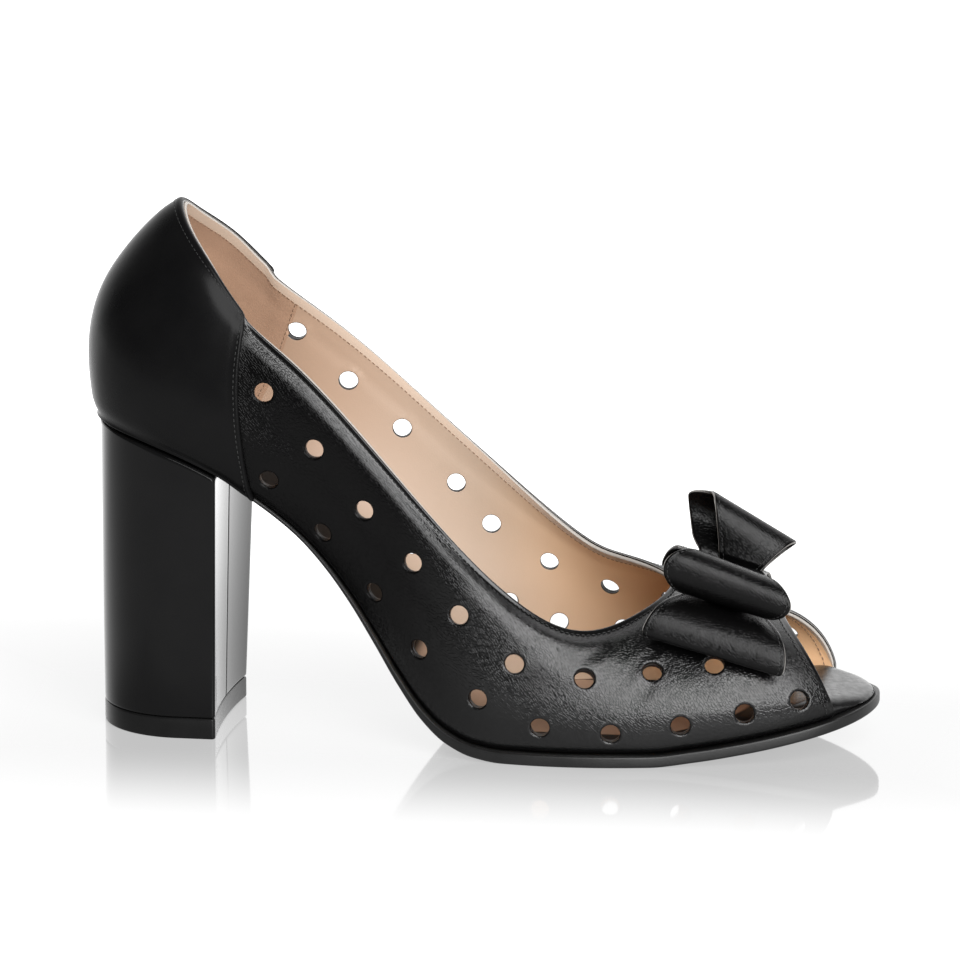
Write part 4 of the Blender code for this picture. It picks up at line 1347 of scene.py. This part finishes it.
def pale_floor():
    """White light table, polished round the shoe and dull further off, its glow dimmer to the camera."""
    paint = Paint("pale_floor", IOR=1.5, Specular_IOR_Level=0.0)
    cloud = paint.noise(300.0, 2.0)
    aside = paint.axis("Y", paint.place)
    long_way = paint.ramp(abs(paint.axis("X", paint.place)), *POLISH_LONG)
    wide_way = paint.ramp(abs(aside), *POLISH_WIDE)
    dull = paint.node("ShaderNodeMath", {"operation": "MAXIMUM"}, {0: long_way, 1: wide_way})
    white = paint.mix(cloud, grey(0.095), grey(0.105))
    front = paint.mix(paint.ramp(aside, *GLOW_FADE), grey(0.25), grey(1.0))
    glow = paint.mix(paint.ramp(aside, *GLOW_RISE), front, grey(2.0))
    paint.set({"Base Color": white, "Roughness": 0.9, "Emission Color": glow, "Emission Strength": 0.93})
    polish = paint.node("ShaderNodeBsdfPrincipled", None, {
        "Base Color": white, "Roughness": 0.04 + cloud * 0.02, "IOR": 1.5, "Emission Color": glow,
        "Emission Strength": 0.47})
    paint.blend(dull, polish, paint.finish)
    return paint.material


# Stage

def make_floor():
    mesh = bpy.data.meshes.new("studio_floor")
    corners = [(x * FLOOR_REACH, y * FLOOR_REACH, 0.0) for x, y in ((-1, -1), (1, -1), (1, 1), (-1, 1))]
    mesh.from_pydata(corners, [], [(0, 1, 2, 3)])
    mesh.materials.append(pale_floor())
    floor = bpy.data.objects.new("studio_floor", mesh)
    bpy.context.scene.collection.objects.link(floor)


def make_world():
    """Dim room with a white backdrop behind the shoe."""
    world = bpy.data.worlds.new("studio_room")
    bpy.context.scene.world = world
    world.use_nodes = True
    nodes = Nodes(world.node_tree)
    behind = nodes.axis("Y", nodes.node("ShaderNodeTexCoord", output="Generated"))
    strength = nodes.ramp(behind, *ROOM_TURN, To_Min=ROOM_FRONT, To_Max=ROOM_BACK)
    background = world.node_tree.nodes["Background"]
    nodes.feed(background.inputs["Color"], grey(1.0))
    nodes.feed(background.inputs["Strength"], strength)


def add_facing(name, data, way, distance):
    """Lamp or camera that faces the shoe from an azimuth, counted from the lateral side, and an elevation."""
    azimuth, elevation = (math.radians(angle) for angle in way)
    away = Vector((math.sin(azimuth) * math.cos(elevation), -math.cos(azimuth) * math.cos(elevation),
                   math.sin(elevation)))
    item = bpy.data.objects.new(name, data)
    item.location = CAMERA_TARGET + away * distance
    item.rotation_euler = away.to_track_quat("Z", "Y").to_euler()
    bpy.context.scene.collection.objects.link(item)
    return item


def make_key_light():
    light = bpy.data.lights.new("key_softbox", "AREA")
    light.shape = "RECTANGLE"
    light.size, light.size_y = KEY_SIZE
    light.energy = KEY_POWER
    add_facing("key_softbox", light, KEY_WAY, KEY_DISTANCE)


def make_camera():
    lens = bpy.data.cameras.new("photo_camera")
    lens.sensor_width = SENSOR_WIDTH
    lens.lens = SENSOR_WIDTH * PIXELS_PER_METRE * CAMERA_DISTANCE / FRAME_PIXELS
    lens.clip_end = 50.0
    bpy.context.scene.camera = add_facing("photo_camera", lens, CAMERA_WAY, CAMERA_DISTANCE)


def make_stage():
    make_floor()
    make_world()
    make_key_light()
    make_camera()
    bpy.context.scene.view_settings.view_transform = "Standard"


def make_shoe():
    vamp = grained_leather("grained_leather", ior=1.43, dull=1.2, depth=0.06, fold=2.6, pale=0.04)
    ribbon = grained_leather("ribbon_leather", ior=1.26, dull=1.26, depth=0.05, fold=0.7, pale=0.3)
    counter = smooth_leather("counter_leather", 0.28, 0.03, IOR=1.17)
    wrap = smooth_leather("heel_leather", 0.16, 0.006, IOR=1.15, Coat_IOR=1.15, Coat_Weight=1.0,
                          Coat_Roughness=0.04)
    black_thread = thread("black_thread", grey(0.004), grey(0.016))
    tan_thread = thread("tan_thread", colour(0.16, 0.09, 0.055), colour(0.28, 0.18, 0.12))
    make_leather(vamp)
    make_lining(tan_lining())
    make_back_panel(counter)
    make_outsole(sole_edge())
    make_insole(insole_leather())
    make_heel(wrap)
    make_top_piece(wear_rubber())
    make_ribbon("bow_lower", ribbon, "bow_lower_ribbon")
    make_ribbon("bow_upper", ribbon, "bow_upper_ribbon")
    make_band(ribbon)
    tree = stitch_tree()
    sew("upper_stitches", tree, outside_rows(), black_thread)
    sew("lining_stitches", tree, lining_rows(), tan_thread)
    sew("bow_stitches", tree, bow_rows(), black_thread)


make_shoe()
make_stage()
